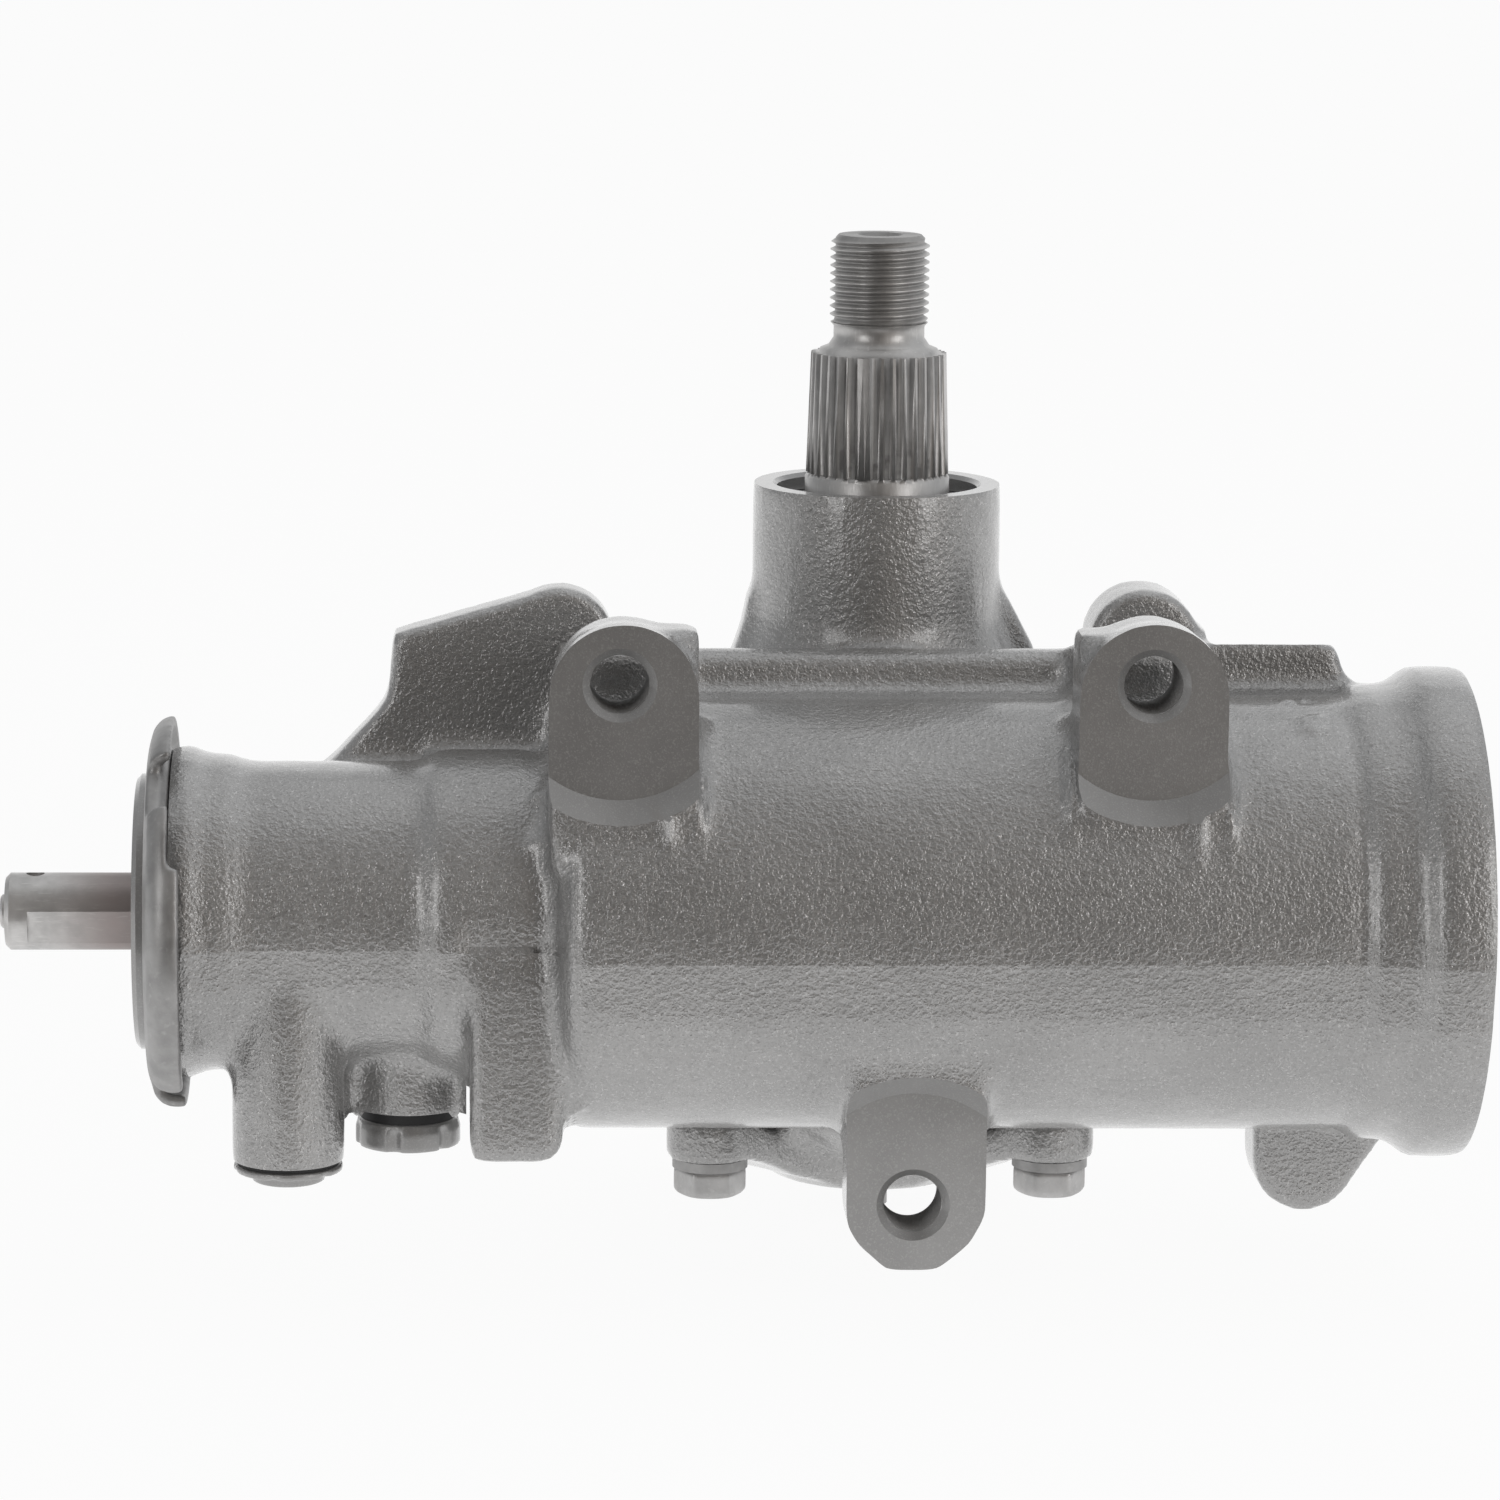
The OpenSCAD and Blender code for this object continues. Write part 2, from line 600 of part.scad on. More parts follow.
// Bores along the worm axis: adjuster thread, pilot, valve, bulkhead, cylinder and end plug
module worm_axis_bores() {
    spin_x() polygon([
        [0, valve_end_x - 1], [plug_r + fit_gap, valve_end_x - 1], [plug_r + fit_gap, thread_end_x],
        [pilot_r + fit_gap, thread_end_x], [pilot_r + fit_gap, plug_x1 + 1], [valve_bore_r, plug_x1 + 1],
        [valve_bore_r, bulkhead_x], [worm_bore_r, bulkhead_x], [worm_bore_r, chamber_x], [bore_r, chamber_x],
        [bore_r, end_plug_x0], [end_plug_r + fit_gap, end_plug_x0], [end_plug_r + fit_gap, end_plug_x1],
        [end_plug_r + end_groove, end_plug_x1], [end_plug_r + end_groove, end_ring_x1],
        [end_plug_r + fit_gap, end_ring_x1], [end_plug_r + fit_gap, housing_end_x + 1], [0, housing_end_x + 1]
    ]);
}

// Bores along the pitman axis: sector chamber, needle bearing, seal and snap ring groove
module pitman_axis_bores() {
    bearing_top = pitman_bearing_z + pitman_bearing_len;
    spin_pitman() polygon([
        [0, -deck_z - 1], [sector_chamber_r, -deck_z - 1], [sector_chamber_r, chamber_top],
        [pitman_shell_r, chamber_top], [pitman_shell_r, bearing_top], [pitman_r + 1, bearing_top],
        [pitman_r + 1, pitman_seal_z], [boss_bore_r, pitman_seal_z], [boss_bore_r, snap_z],
        [boss_bore_r + snap_groove, snap_z], [boss_bore_r + snap_groove, snap_z + snap_t + 0.1],
        [boss_bore_r, snap_z + snap_t + 0.1], [boss_bore_r, boss_top + 1], [0, boss_top + 1]
    ]);
}

// Thread and oil hole of a port, upwards from its face
module port_bore(x, y, z, thread_depth) {
    translate([x, y, z]) rotate_extrude() polygon([
        [0, -1], [port_thread_r, -1], [port_thread_r, thread_depth], [port_oil_r, thread_depth + 2],
        [port_oil_r, -z - 12], [0, -z - 12]
    ]);
}

module gear_housing() {
    color(cast_grey) placed() difference() {
        union() {
            cast_barrel();
            cast_drum();
            cast_rib();
            cast_far_side();
            cast_ports();
            cast_lugs();
        }
        worm_axis_bores();
        pitman_axis_bores();
        for (p = deck_bolts)
            translate([p[0], p[1], -deck_z - 1]) cylinder(r = bolt_r + fit_gap, h = 10.5);
        port_bore(left_port_x, -left_port_y, -left_port_z, 10);
        port_bore(right_port_x, -right_port_y, -right_port_z, 6);
        lug_cut(-left_hole_x, upper_hole_z, lug_back);
        lug_cut(right_hole_x, upper_hole_z, lug_back);
        lug_cut(lower_hole_x, -lower_hole_z, lug_back);
    }
}

module side_cover() {
    spigot_r = sector_chamber_r - fit_gap;
    ear_x = cover_bolt_pitch * sqrt(2);
    rim = 0.3;
    color(cast_grey) placed() difference() {
        union() {
            spin_pitman() polygon([
                [0, cover_roof_z], [cover_hub_r - 3, cover_roof_z], [cover_hub_r, cover_roof_z + 2],
                [cover_hub_r + 3.5, -deck_z - cover_t - 2.6], [cover_hub_r + 13, -deck_z - 5.2],
                [cover_hub_r + 14.5, -deck_z - 4], [cover_hub_r + 14.5, -deck_z], [spigot_r, -deck_z],
                [spigot_r, -deck_z + 6], [0, -deck_z + 6]
            ]);
            for (p = deck_bolts)
                translate([p[0], p[1], -deck_z - cover_t - rim]) cylinder(r = cover_ear_r, h = cover_t + rim);
            for (turn = [45 : 90 : 315])
                translate([0, axis_offset, 0]) rotate([0, 0, turn])
                    slab_y(-cover_ear_r + 0.2, cover_ear_r - 0.2) polygon([
                        [ear_x, -deck_z - 0.3], [ear_x - 4, -deck_z - 0.3],
                        [cover_hub_r + 2, cover_roof_z + 9.6],
                        [cover_hub_r - 8, cover_roof_z + 9.6], [cover_hub_r - 8, cover_roof_z + 0.7],
                        [cover_hub_r, cover_roof_z + 2.6], [cover_hub_r + 9.2, cover_roof_z + 5.6],
                        [cover_hub_r + 15.6, -deck_z - cover_t - 3.6],
                        [cover_hub_r + 20.7, -deck_z - cover_t - 1.6],
                        [ear_x - 0.5, -deck_z - cover_t + 0.3], [ear_x, -deck_z - cover_t + 0.3]
                    ]);
        }
        for (p = deck_bolts)
            translate([p[0], p[1], -deck_z - cover_t - 1]) cylinder(r = bolt_r + 0.5, h = cover_t + 2);
        for (p = deck_bolts)
            translate([p[0], p[1], -deck_z - cover_t - 6]) cylinder(r = cover_ear_r - 0.8, h = 6);
        tube_pitman(0, bushing_r + fit_gap, bushing_top - bushing_len, 0);
        tube_pitman(0, tail_r + 1, cover_roof_z + 7, 0);
        tube_pitman(0, lash_r + fit_gap, cover_roof_z - 1, 0);
        tube_pitman(0, jam_nut_flats / sqrt(3) + 2, cover_roof_z - 1, cover_roof_z + jam_seat);
        tube_pitman(spigot_r - 2.6, spigot_r + 1, -deck_z + 1.5, -deck_z + 4.5);
    }
}

module cover_seal() {
    groove_r = sector_chamber_r - fit_gap - 2.6;
    color(rubber) placed()
        tube_pitman(groove_r + fit_gap, sector_chamber_r - fit_gap, -deck_z + 1.6, -deck_z + 4.4);
}

module side_cover_bolts() {
    head_z = -deck_z - cover_t - washer_t;
    color(steel) placed() for (p = deck_bolts) translate([p[0], p[1], 0]) {
        translate([0, 0, head_z - bolt_head]) intersection() {
            cylinder(r = bolt_flats / sqrt(3), h = bolt_head, $fn = 6);
            rotate_extrude() polygon([
                [0, 0], [bolt_flats / 2 - 0.4, 0], [bolt_flats / sqrt(3) + 0.3, 1],
                [bolt_flats / sqrt(3) + 0.3, bolt_head], [0, bolt_head]
            ]);
        }
        translate([0, 0, head_z - 0.5]) cylinder(r = bolt_r, h = cover_t + washer_t + 9.3);
    }
}

module side_cover_washers() {
    color(dark_steel) placed() for (p = deck_bolts) translate([p[0], p[1], -deck_z - cover_t - washer_t])
        difference() {
            cylinder(r = bolt_r + 3.7, h = washer_t);
            translate([0, 0, -1]) cylinder(r = bolt_r + 0.4, h = washer_t + 2);
            rotate([0, 0, 160]) translate([0, -0.6, -1]) cube([bolt_r + 6, 1.2, washer_t + 2]);
        }
}

module cover_bushing() {
    color(bronze) placed() tube_pitman(tail_r + run_gap, bushing_r, bushing_top - bushing_len, bushing_top);
}

module lash_adjuster() {
    slot_z = cover_roof_z - lash_proud;
    color(steel) placed() difference() {
        union() {
            tube_pitman(0, lash_r, slot_z, tail_z + 2);
            tube_pitman(0, lash_head_r, tail_z + 2, tail_z + 2 + lash_head_h);
        }
        translate([-0.9, axis_offset - lash_r - 1, slot_z - 1]) cube([1.8, 2 * lash_r + 2, 4]);
    }
}

module adjuster_jam_nut() {
    color(steel) placed() translate([0, axis_offset, cover_roof_z + jam_seat - jam_nut_h]) difference() {
        cylinder(r = jam_nut_flats / sqrt(3), h = jam_nut_h, $fn = 6);
        translate([0, 0, -1]) cylinder(r = lash_r + fit_gap, h = jam_nut_h + 2);
    }
}

module adjuster_retainer() {
    color(steel) placed() tube_pitman(lash_r + run_gap, lash_head_r + 2, tail_z, tail_z + 1.6);
}

module adjuster_plug() {
    seal_r = journal_r + 5;
    bearing_r = journal_r + run_gap + 2.2 + 1.2 + fit_gap;
    color(milled_grey) placed() difference() {
        spin_x() polygon([
            [0, plug_x0], [plug_r - 1, plug_x0], [plug_r, plug_x0 + 1], [plug_r, thread_end_x - 0.4],
            [pilot_r, thread_end_x - 0.4], [pilot_r, plug_x1], [0, plug_x1]
        ]);
        bar_x(journal_r + 0.8, plug_x0 - 1, plug_x1 + 1);
        bar_x(seal_r + fit_gap, plug_x0 - 1, plug_x0 + 11);
        bar_x(bearing_r, plug_x0 + 13, plug_x1 + 1);
        spin_x() translate([seal_r, plug_x0 + 1.8]) square([1.2, 1.5]);
        tube_x(pilot_r - 2.2, pilot_r + 1, plug_x1 - 4.4, plug_x1 - 1.4);
        for (i = [0 : 3])
            rotate([45 + 90 * i, 0, 0]) translate([0, 23, 0]) bar_x(2.6, plug_x0 - 1, plug_x0 + 6);
    }
}

module adjuster_o_ring() {
    color(rubber) placed() tube_x(pilot_r - 2.2 + fit_gap, pilot_r - fit_gap, plug_x1 - 4.3, plug_x1 - 1.5);
}

// Stamped dish with a threaded hub; the notches interrupt its curled rim
module adjuster_locknut() {
    x0 = valve_end_x - 5.2;
    rim_x = valve_end_x + 2.8;
    hub_r = plug_r + fit_gap;
    notch_r = flange_r + 0.6;
    first = 126;
    narrow = 2.6;
    color(steel) placed() difference() {
        spin_x() polygon([
            [hub_r, x0], [flange_r - 0.4, x0], [locknut_r - 2.6, x0 + 1], [locknut_r - 0.8, x0 + 2.6],
            [locknut_r, x0 + 4.6], [locknut_r, rim_x], [locknut_r - locknut_t, rim_x],
            [locknut_r - locknut_t, valve_end_x - 0.6], [locknut_r - locknut_t - 1.4, valve_end_x - 1.8],
            [flange_r, valve_end_x - 1.8], [flange_r - 1.6, valve_end_x], [hub_r, valve_end_x]
        ]);
        for (i = [0 : locknut_notches - 1])
            rotate([first + i * 360 / locknut_notches, 0, 0]) translate([x0 - 1, 0, 0])
                rotate([0, 90, 0]) rotate([0, 0, -90]) linear_extrude(rim_x - x0 + 2) polygon([
                    [-notch_r, notch_r * tan(locknut_notch_deg / 2)],
                    [-notch_r, -notch_r * tan(locknut_notch_deg / 2)],
                    [-locknut_r - 4, -(locknut_r + 4) * tan(locknut_notch_deg / 2)],
                    [-locknut_r - 4, (locknut_r + 4) * tan(locknut_notch_deg / 2)]
                ]);
        intersection() {
            tube_x(locknut_r - locknut_t - 0.4, locknut_r + 2, rim_x - narrow, rim_x + 2);
            rotate([first - 90, 0, 0]) translate([rim_x - narrow - 1, -90, 0]) cube([narrow + 4, 180, 90]);
            rotate([first + 360 / locknut_notches - 270, 0, 0]) translate([rim_x - narrow - 1, -90, 0])
                cube([narrow + 4, 180, 90]);
        }
    }
}

module stub_dust_seal() {
    color(rubber) placed() tube_x(journal_r + run_gap, journal_r + 5, plug_x0 + 3.4, plug_x0 + 5.4);
}

module stub_seal() {
    color(rubber) placed() tube_x(journal_r + run_gap, journal_r + 5, plug_x0 + 5.5, plug_x0 + 11);
}

module stub_seal_ring() {
    color(dark_steel) placed() difference() {
        tube_x(journal_r + 2.6, journal_r + 6, plug_x0 + 1.9, plug_x0 + 3.2);
        translate([plug_x0, -2, -journal_r - 8]) cube([5, 4, 8]);
    }
}

module stub_bearing_shell() {
    r_in = journal_r + run_gap + 2.2 + fit_gap;
    color(steel) placed() tube_x(r_in, r_in + 1.2 - fit_gap, plug_x0 + 13, plug_x1);
}

module stub_bearing_needles() {
    color(steel) placed() needles_x(26, journal_r + run_gap + 1.1, 1.1, plug_x0 + 14, plug_x1 - 1);
}

module upper_thrust_races() {
    color(steel) placed() thrust_races_at(plug_x1);
}

module upper_thrust_rollers() {
    color(steel) placed() thrust_rollers_at(plug_x1 + thrust_stack / 2);
}

module lower_thrust_races() {
    color(steel) placed() thrust_races_at(bulkhead_x - thrust_stack);
}

module lower_thrust_rollers() {
    color(steel) placed() thrust_rollers_at(bulkhead_x - thrust_stack / 2);
}

module housing_end_plug() {
    color(milled_grey) placed() difference() {
        spin_x() polygon([
            [0, end_plug_x0], [end_plug_r - 1, end_plug_x0], [end_plug_r, end_plug_x0 + 1],
            [end_plug_r, end_plug_x1], [end_plug_r - 8, end_plug_x1], [end_plug_r - 13, end_plug_x0 + 5],
            [0, end_plug_x0 + 5]
        ]);
        tube_x(end_plug_r - 2.6, end_plug_r + 1, end_plug_x0 + 4, end_plug_x0 + 7.4);
    }
}

module end_plug_o_ring() {
    color(rubber) placed()
        tube_x(end_plug_r - 2.6 + fit_gap, end_plug_r - fit_gap, end_plug_x0 + 4.1, end_plug_x0 + 7.3);
}

module end_plug_retaining_ring() {
    color(dark_steel) placed() difference() {
        tube_x(end_plug_r - 2, end_plug_r + end_groove - fit_gap, end_plug_x1, end_ring_x1);
        translate([end_plug_x1 - 1, -4, end_plug_r - 4]) cube([end_ring_t + 2, 8, 12]);
    }
}

module pitman_bearing_shell() {
    r_in = pitman_r + run_gap + pitman_needle_d + fit_gap;
    color(steel) placed()
        tube_pitman(r_in, pitman_shell_r - fit_gap, pitman_bearing_z, pitman_bearing_z + pitman_bearing_len);
}

module pitman_bearing_needles() {
    count = 34;
    r = pitman_r + run_gap + pitman_needle_d / 2;
    color(steel) placed() for (i = [0 : count - 1])
        translate([r * cos(i * 360 / count), axis_offset + r * sin(i * 360 / count), pitman_bearing_z + 1])
            cylinder(r = pitman_needle_d / 2, h = pitman_bearing_len - 2);
}

module pitman_seal() {
    r_in = pitman_r + run_gap;
    r_out = boss_bore_r - fit_gap;
    color(rubber) placed() spin_pitman() polygon([
        [r_in, pitman_seal_z], [r_out, pitman_seal_z], [r_out, pitman_seal_z + seal_h],
        [r_in + 2, pitman_seal_z + seal_h], [r_in, pitman_seal_z + seal_h - 2.4]
    ]);
}

module pitman_seal_washer() {
    color(steel) placed()
        tube_pitman(pitman_r + 0.9, boss_bore_r - fit_gap, pitman_seal_z + seal_h, snap_z);
}

module pitman_snap_ring() {
    color(dark_steel) placed() difference() {
        tube_pitman(boss_bore_r - 2.6, boss_bore_r + snap_groove - fit_gap, snap_z, snap_z + snap_t);
        translate([-4, axis_offset + boss_bore_r - 4, snap_z - 1]) cube([8, 8, 4]);
    }
}

// Screwed shipping plug with a ring groove under its lobed head; it hangs from z = 0
module port_plug(head_r, head_h, lobe_r, lobe_h, neck_h, stem) {
    difference() {
        union() {
            translate([0, 0, -0.5]) cylinder(r = port_thread_r - fit_gap, h = stem + 0.5);
            translate([0, 0, -neck_h]) cylinder(r = port_thread_r + 1.4, h = neck_h);
            translate([0, 0, -neck_h - head_h]) cylinder(r = head_r, h = head_h);
            translate([0, 0, -neck_h - head_h - lobe_h]) cylinder(r = lobe_r, h = lobe_h + 0.5);
        }
        for (i = [0 : 5])
            rotate([0, 0, 60 * i + 15])
                translate([max(head_r, lobe_r) + 0.5, 0, -neck_h - head_h - lobe_h - 1])
                cylinder(r = 1.5, h = lobe_h + (lobe_h > head_h ? head_h : 1));
        translate([0, 0, -neck_h - head_h - lobe_h - 1]) cylinder(r = 4, h = 3.4, $fn = 6);
    }
}

left_plug_neck = 0.9;
right_plug_neck = 2.6;

module left_port_plug() {
    color(cast_grey) placed() translate([left_port_x, -left_port_y, -left_port_z])
        port_plug(left_port_r - 0.3, 1.6, left_port_r - 4.2, 2.4, left_plug_neck, 7.5);
}

module right_port_plug() {
    color(cast_grey) placed() translate([right_port_x, -right_port_y, -right_port_z])
        port_plug(right_port_r - 1.6, 2.2, right_port_r - 1.2, 4, right_plug_neck, 5.5);
}

module port_plug_o_rings() {
    ring_r = port_thread_r + 1.4 + fit_gap;
    color(rubber) placed() {
        translate([left_port_x, -left_port_y, -left_port_z - left_plug_neck]) difference() {
            cylinder(r = ring_r + 1.6, h = left_plug_neck);
            translate([0, 0, -1]) cylinder(r = ring_r, h = left_plug_neck + 2);
        }
        translate([right_port_x, -right_port_y, -right_port_z - right_plug_neck]) difference() {
            cylinder(r = ring_r + 1, h = right_plug_neck);
            translate([0, 0, -1]) cylinder(r = ring_r, h = right_plug_neck + 2);
        }
    }
}

// Flare seats pressed into the ports' oil holes
module port_seat() {
    difference() {
        union() {
            cylinder(r = port_oil_r - fit_gap, h = 5);
            translate([0, 0, -1]) cylinder(r1 = 3.2, r2 = port_oil_r - fit_gap, h = 1.01);
        }
        translate([0, 0, -2]) cylinder(r = 2.4, h = 8);
    }
}

module port_seats() {
    color(bronze) placed() {
        translate([left_port_x, -left_port_y, -left_port_z + 12.2]) port_seat();
        translate([right_port_x, -right_port_y, -right_port_z + 8.2]) port_seat();
    }
}

module worm_shaft() {
    color(steel) placed() difference() {
        union() {
            worm_thread();
            bar_x(worm_r, flange_x1 - 1, worm_thread_x0 - worm_relief);
            bar_x(worm_neck_r, worm_thread_x0 - worm_relief - 1, worm_thread_x0 + 0.5);
            bar_x(worm_flange_r, flange_x0, flange_x1);
        }
        bar_x(torsion_r + ring_gap, flange_x0 - 1, flange_x1 + 16);
        rotate([90, 0, 0]) translate([0, worm_flange_r - 2.4, 0]) bar_x(1.6, flange_x0 - 1, flange_x0 + 3.5);
    }
}

module valve_drive_pin() {
    color(steel) placed()
        rotate([90, 0, 0]) translate([0, worm_flange_r - 2.4, 0])
        bar_x(1.6 - fit_gap, flange_x0 - 4, flange_x0 + 3.3);
}

valve_ring_w = 2.4;
valve_ring_x = [for (i = [0 : 2]) valve_x0 + 6 + i * (valve_len - 12 - valve_ring_w) / 2];

module valve_body() {
    slots = 8;
    color(steel) placed() difference() {
        tube_x(spool_r + run_gap, valve_r, valve_x0, flange_x0);
        for (x = valve_ring_x)
            tube_x(valve_r - 1.8, valve_r + 1, x, x + valve_ring_w);
        for (i = [0 : slots - 1])
            rotate([i * 360 / slots, 0, 0]) translate([valve_x0 + 5, -1.6, spool_r - 1])
                cube([valve_len - 10, 3.2, 2.8]);
        rotate([90, 0, 0]) translate([0, worm_flange_r - 2.4, 0]) bar_x(1.6, flange_x0 - 4.2, flange_x0 + 1);
    }
}

module valve_body_rings() {
    color(teflon) placed() for (x = valve_ring_x)
        tube_x(valve_r - 1.8 + fit_gap, valve_bore_r - ring_gap, x + fit_gap, x + valve_ring_w - fit_gap);
}

module valve_spool() {
    slots = 8;
    r_in = journal_r - 1.5 + fit_gap;
    color(steel) placed() difference() {
        tube_x(r_in, spool_r, valve_x0 + 3, flange_x0 - 4.5);
        for (i = [0 : slots - 1])
            rotate([(i + 0.5) * 360 / slots, 0, 0]) translate([valve_x0 + 7, -1.6, spool_r - 1.6])
                cube([valve_len - 16, 3.2, 3]);
    }
}

// Input shaft, bored for the torsion bar, with a flat and the hole of the cross pin
module stub_shaft() {
    spool_end = flange_x0 - run_gap;
    pin_x = input_end_x + 6.4;
    color(steel) placed() difference() {
        spin_x() polygon([
            [torsion_r + fit_gap, input_end_x], [input_r - 1, input_end_x], [input_r, input_end_x + 1],
            [input_r, input_x], [journal_r, input_x], [journal_r, valve_x0 - 1],
            [journal_r - 1.5, valve_x0 - 1], [journal_r - 1.5, spool_end], [torsion_r + fit_gap, spool_end]
        ]);
        rotate([17, 0, 0]) translate([input_end_x + 5, -input_r - 4, -input_r])
            cube([input_len - 5.6, input_flat + 4, 2 * input_r]);
        translate([pin_x, 0, -input_r - 1]) cylinder(r = stub_pin_r, h = 2 * input_r + 2);
    }
}

module torsion_bar() {
    pin_x = input_end_x + 6.4;
    x0 = input_end_x - torsion_nub;
    x1 = flange_x1 + 15;
    color(dark_steel) placed() difference() {
        spin_x() polygon([
            [0, x0], [torsion_r - 0.5, x0], [torsion_r, x0 + 0.5], [torsion_r, input_end_x + 13],
            [torsion_waist_r, input_end_x + 16], [torsion_waist_r, flange_x0 - 8], [torsion_r, flange_x0 - 5],
            [torsion_r, x1 - 0.5], [torsion_r - 0.5, x1], [0, x1]
        ]);
        translate([pin_x, 0, -input_r - 1]) cylinder(r = stub_pin_r, h = 2 * input_r + 2);
    }
}

module stub_pin() {
    pin_len = 2 * input_r - 2.4;
    color(dark_steel) placed()
        translate([input_end_x + 6.4, 0, -pin_len / 2]) cylinder(r = stub_pin_r - fit_gap, h = pin_len);
}

piston_ring_x = piston_back - 14;

module rack_piston() {
    r = bore_r - run_gap;
    flat_end = rack_travel + sector_root_r + 4;
    color(steel) placed() difference() {
        spin_x() polygon([
            [0, -piston_front], [r - 1.5, -piston_front], [r, -piston_front + 1.5], [r, piston_back - 1.5],
            [r - 1.5, piston_back], [0, piston_back]
        ]);
        // Rack flat and tooth spaces
        translate([-piston_front - 1, rack_tip_y, -bore_r])
            cube([piston_front + flat_end + 1, bore_r, 2 * bore_r]);
        for (k = [-1 : 1])
            translate([k * rack_pitch, 0, -bore_r]) linear_extrude(2 * bore_r) rack_space();
        // Nut bore with its ball track, and the thread of the end plug
        bar_x(nut_bore_r, -piston_front - 1, piston_back - 4);
        bar_x(track_r, circuit_x - ball_d, circuit_x + circuit_len + ball_d);
        bar_x(piston_plug_r + fit_gap, piston_back - piston_plug_len, piston_back + 1);
        // Piston ring groove
        tube_x(r - piston_ring_depth, bore_r + 1, piston_ring_x - piston_ring_w, piston_ring_x);
        // Pocket and holes of the ball return guide, and the clamp's screw holes
        translate([guide_x0 - 12, -bore_r - 1, -22])
            cube([guide_x1 - guide_x0 + 24, bore_r + 1 + pocket_y, 44]);
        bar_y(guide_r + guide_t + fit_gap, guide_x0, ball_pitch_r, pocket_y - 1, -2);
        bar_y(guide_r + guide_t + fit_gap, guide_x1, -ball_pitch_r, pocket_y - 1, -2);
        guide_frame() for (side = [-1, 1])
            bar_y(1.6, 0, side * 11, pocket_y - 1, pocket_y + 6);
    }
}

module piston_ring() {
    r_in = bore_r - run_gap - 2;
    color(teflon) placed()
        tube_x(r_in, bore_r - ring_gap, piston_ring_x - piston_ring_w + fit_gap, piston_ring_x - fit_gap);
}

module piston_ring_backup() {
    r_in = bore_r - run_gap - piston_ring_depth + fit_gap;
    r_out = bore_r - run_gap - 2 - fit_gap;
    color(rubber) placed()
        tube_x(r_in, r_out, piston_ring_x - piston_ring_w + 0.4, piston_ring_x - 0.4);
}

module piston_end_plug() {
    color(dark_steel) placed() difference() {
        bar_x(piston_plug_r, piston_back - piston_plug_len, piston_back - 1);
        translate([piston_back - 9, -5, -5]) cube([10, 10, 10]);
    }
}

// Balls in the loaded turns of the track
module recirculating_balls() {
    step = 360 * (ball_d + 0.35) / norm([2 * PI * ball_pitch_r, worm_lead]);
    count = floor(360 * ball_turns / step);
    color(steel) placed() rotate([0, 90, 0]) for (i = [0 : count])
        rotate([0, 0, i * step]) translate([ball_pitch_r, 0, circuit_x + worm_lead * i * step / 360])
            sphere(d = ball_d);
}

// Frame of the return guide: its X runs along the tube between the two legs
module guide_frame() {
    translate([(guide_x0 + guide_x1) / 2, 0, 0]) rotate([0, guide_angle, 0]) children();
}

// Inside or outside of the U-shaped return tube
module guide_tube(r) {
    leg = 10;
    guide_frame() {
        translate([-guide_span / 2, guide_y, 0]) bar_x(r, 0, guide_span);
        for (side = [-1, 1]) translate([side * guide_span / 2, guide_y, 0]) {
            sphere(r = r);
            rotate([-90, 0, 0]) cylinder(r = r, h = leg);
        }
    }
}

// The return tube is stamped in two halves that part along its centre line
module ball_return_guides() {
    color(steel) placed() for (side = [-1, 1]) intersection() {
        difference() {
            guide_tube(guide_r + guide_t);
            guide_tube(guide_r);
        }
        guide_frame() translate([-40, -bore_r - 5, side < 0 ? -12.02 : 0.02]) cube([80, 60, 12]);
    }
}

module ball_guide_clamp() {
    out = guide_r + guide_t + 0.15;
    t = 1.2;
    color(steel) placed() guide_frame() difference() {
        union() {
            translate([-4, guide_y - out - t, -out - t]) cube([8, t, 2 * (out + t)]);
            for (side = [-1, 1]) {
                translate([-4, guide_y - out - t, side > 0 ? out : -out - t])
                    cube([8, pocket_y - guide_y + out + t, t]);
                translate([-4, pocket_y - t, side > 0 ? out : -out - 10]) cube([8, t, 10]);
            }
        }
        for (side = [-1, 1])
            bar_y(1.8, 0, side * 11, pocket_y - t - 1, pocket_y + 1);
    }
}

module ball_guide_screws() {
    color(dark_steel) placed() guide_frame() for (side = [-1, 1]) {
        bar_y(1.6 - fit_gap, 0, side * 11, pocket_y - 1.7, pocket_y + 5.8);
        bar_y(3, 0, side * 11, pocket_y - 3.4, pocket_y - 1.2);
    }
}

// Taper serration with four wide blind teeth
module serration() {
    inner = spline_r - spline_depth;
    step = 360 / spline_teeth;
    blind = spline_teeth / 4;
    blank = [for (i = [0 : spline_teeth - 1])
        let (a = -90 + (i + 0.5) * step, root = (i - 7) % blind == 0 ? spline_r : inner)
        each [root * [cos(a - 0.24 * step), sin(a - 0.24 * step)],
            root * [cos(a + 0.08 * step), sin(a + 0.08 * step)],
            spline_r * [cos(a + 0.3 * step), sin(a + 0.3 * step)],
            spline_r * [cos(a + 0.54 * step), sin(a + 0.54 * step)]]];
    translate([0, axis_offset, spline_z])
        linear_extrude(spline_len, scale = spline_top_r / spline_r) polygon(blank);
}

